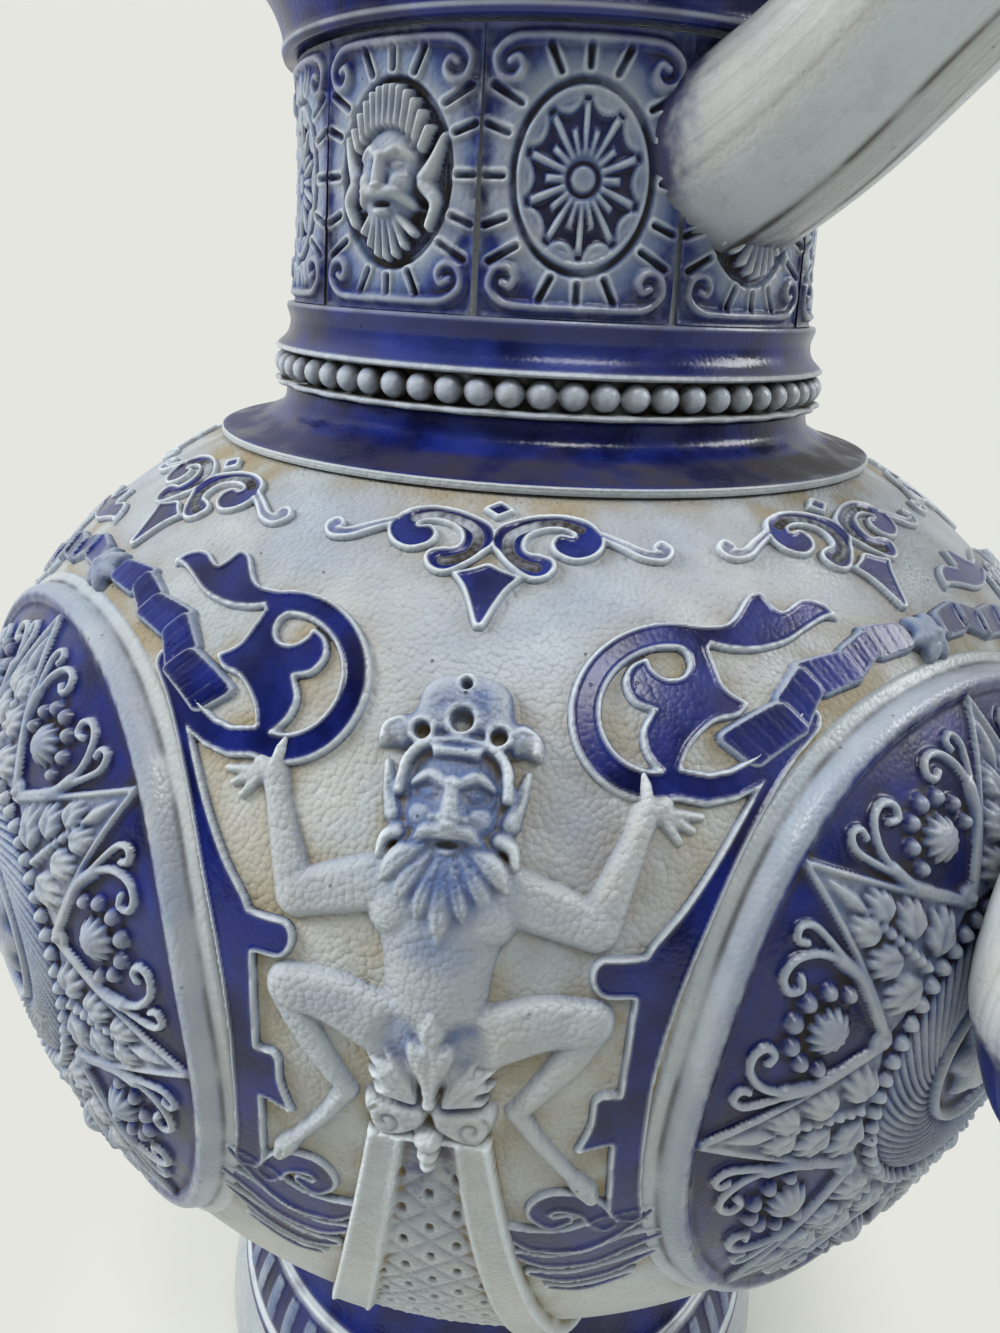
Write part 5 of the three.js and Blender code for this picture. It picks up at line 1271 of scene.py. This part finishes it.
def make_handle():
    """Sweeps the section along its line. The root stops in the neck's wall and the tail ends in a roll."""
    lengths = np.concatenate([[0], np.cumsum(np.hypot(*np.diff(handle_line[:, :2], axis=0).T))])
    share = np.linspace(0, 1, HANDLE_ROWS)
    line = np.stack([np.interp(share * lengths[-1], lengths, column) for column in handle_line.T], axis=-1)
    step_r, step_z = np.gradient(line[:, 0]), np.gradient(line[:, 1])
    size = np.hypot(step_r, step_z)
    closing = np.sqrt(np.clip(1 - np.clip((share - 0.99) / 0.01, 0, 1) ** 2, 0.0004, 1))
    across, up = handle_section[:, 0], handle_section[:, 1]
    width = (HANDLE_WIDTH / 2 * line[:, 3] * closing)[:, None] * across
    depth = (T * line[:, 2] * closing)[:, None] * up
    x = line[:, :1] - depth * (step_z / size)[:, None]
    height = line[:, 1:2] + depth * (step_r / size)[:, None]
    points = np.stack([x, width, height], axis=-1)
    reach = np.hypot(x, width)
    at_root = share[:, None] < 0.3
    push = np.where((reach < ROOT_DEPTH) & at_root, ROOT_DEPTH / np.maximum(reach, 1), 1)
    points[..., :2] *= push[..., None]
    rows, columns = x.shape
    faces, row, column = grid_faces(rows, columns, False, True)
    uv = np.stack([column / columns, row / rows], axis=-1)
    near_neck = np.exp(-np.clip(reach - 44, 0, None) / 3.5) * at_root
    low = smooth((tail_z - 7 - height) / 7)
    # The flat keel facet underneath gets a painted reflection, with a dark line along each of its edges
    facet = mask_between(np.abs(across), 0.3, 0.85, 0.12) * (up < -0.2)
    crease = mask_between(np.abs(across), 0.22, 0.3, 0.05) * (up < -0.4)
    marks = {
        "blue": np.maximum(low, 0.8 * near_neck),
        "wash": 0.8 * smooth((tail_z - height) / 18),
        "pale": 0.75 * facet + 0 * low,
        # dirt and painted shade where the root meets the neck, and the dark lines along the facet
        "dirt_and_shade": 0.5 * near_neck + 0.75 * crease,
    }
    return make_mesh("handle_strap", points.reshape(-1, 3), faces[:, ::-1], marks, uv[:, ::-1])


add_piece("handle_strap", make_handle(), "plain_glaze", "handle")


# Camera at the photograph's angle: millimetres, degrees and picture pixels

FOCAL_PIXELS = 960.0
PICTURE_HEIGHT = 1333.0
CAMERA_AWAY = 183.2
CAMERA_HEIGHT = 243.2
CAMERA_PITCH = math.radians(-21.68)
CAMERA_YAW = math.radians(-1.79)
CAMERA_ROLL = math.radians(2.85)
CAMERA_TURN = math.radians(49.6)
SENSOR = 36.0
NEAREST = 5.0

ahead = math.cos(CAMERA_PITCH)
forward = Vector((math.sin(CAMERA_YAW) * ahead, math.cos(CAMERA_YAW) * ahead, math.sin(CAMERA_PITCH)))
level = forward.cross(Vector((0, 0, 1))).normalized()
upward = level.cross(forward)
right = math.cos(CAMERA_ROLL) * level + math.sin(CAMERA_ROLL) * upward
upward = -math.sin(CAMERA_ROLL) * level + math.cos(CAMERA_ROLL) * upward
stand = Matrix((right, upward, -forward)).transposed().to_4x4()
stand.translation = Vector((0, -CAMERA_AWAY, CAMERA_HEIGHT)) * MM
camera = bpy.data.objects.new("camera", bpy.data.cameras.new("camera"))
camera.data.lens = SENSOR * FOCAL_PIXELS / PICTURE_HEIGHT
camera.data.sensor_width = SENSOR
camera.data.clip_start = NEAREST * MM
camera.matrix_world = Matrix.Rotation(CAMERA_TURN, 4, "Z") @ stand
bpy.context.scene.collection.objects.link(camera)
bpy.context.scene.camera = camera


# Floor, backdrop and soft studio light, in metres

BACKGROUND = "e5e6e0"
FLOOR_REACH = 4.0
SHADOW_START = 0.066
SHADOW_END = 0.12
WORLD_LIGHT = 0.46
ROOM_LIGHT = 0.05
BACK_LIGHT = 0.9
AIM_HEIGHT = 0.2


def make_floor():
    """A pale floor that keeps the shadow under the jug and fades into the background."""
    mesh = bpy.data.meshes.new("floor")
    corners = [(-1, -1), (1, -1), (1, 1), (-1, 1)]
    mesh.from_pydata([(x * FLOOR_REACH, y * FLOOR_REACH, 0) for x, y in corners], [], [(0, 1, 2, 3)])
    floor = bpy.data.objects.new("floor", mesh)
    bpy.context.scene.collection.objects.link(floor)
    s = new_material("floor")
    tone = s.mix(s.noise(30, 3), "e0e1db", "dbdcd6")
    for key, value in (("Base Color", tone), ("Roughness", 0.7), ("Specular IOR Level", 0.2)):
        s.put(value, s.inputs[key])
    far = s.add("VectorMath", {0: s.place}, operation="LENGTH")["Value"]
    path = s.add("LightPath")
    seen = s.maths("MAXIMUM", path["Is Camera Ray"], path["Is Glossy Ray"])
    share = s.maths("MULTIPLY", s.between(far, SHADOW_START, SHADOW_END), seen)
    glow = s.add("Emission", {"Color": BACKGROUND})[0]
    blend = s.add("MixShader", {0: share, 1: s.surface.outputs[0], 2: glow})[0]
    s.put(blend, s.nodes["Material Output"].inputs["Surface"])
    mesh.materials.append(s.owner)


def make_world():
    """A pale background, with the dimmer open room on the side that the picture is taken from."""
    s = Nodes(bpy.data.worlds.new("studio"))
    toward = (math.sin(CAMERA_TURN), -math.cos(CAMERA_TURN), 0)
    facing = s.add("VectorMath", {0: s.add("TexCoord")["Generated"], 1: toward},
                   operation="DOT_PRODUCT")["Value"]
    room = s.between(facing, -0.6, 0.5, BACK_LIGHT, ROOM_LIGHT)
    path = s.add("LightPath")
    level = WORLD_LIGHT
    for key, seen in (("Is Glossy Ray", room), ("Is Transmission Ray", 1.0), ("Is Camera Ray", 1.0)):
        level = s.add("Mix", {0: path[key], 2: level, 3: seen})[0]
    background = s.nodes["Background"].inputs
    s.put(BACKGROUND, background["Color"])
    s.put(level, background["Strength"])
    bpy.context.scene.world = s.owner


def add_lamp(name, azimuth, elevation, distance, size, power, shine):
    """A soft square lamp aimed at the belly. Azimuth counts from the camera, to its right.

    A lamp without shine isn't mirrored in the glaze.
    """
    data = bpy.data.lights.new(name, "AREA")
    data.size = size
    data.energy = power
    lamp = bpy.data.objects.new(name, data)
    lamp.visible_glossy = shine
    bpy.context.scene.collection.objects.link(lamp)
    turn = CAMERA_TURN - math.pi / 2 + math.radians(azimuth)
    rise = math.radians(elevation)
    aim = Vector((math.cos(rise) * math.cos(turn), math.cos(rise) * math.sin(turn), math.sin(rise)))
    lamp.location = Vector((0, 0, AIM_HEIGHT)) + distance * aim
    lamp.rotation_euler = aim.to_track_quat("Z", "Y").to_euler()


make_floor()
make_world()
add_lamp("key", -84, 32, 1.0, 0.32, 11.0, shine=False)
add_lamp("top", 20, 66, 1.1, 0.4, 6.0, shine=True)
add_lamp("fill", 95, 34, 1.2, 0.5, 7.5, shine=True)
bpy.context.scene.view_settings.view_transform = "Standard"

bpy.context.view_layer.update()
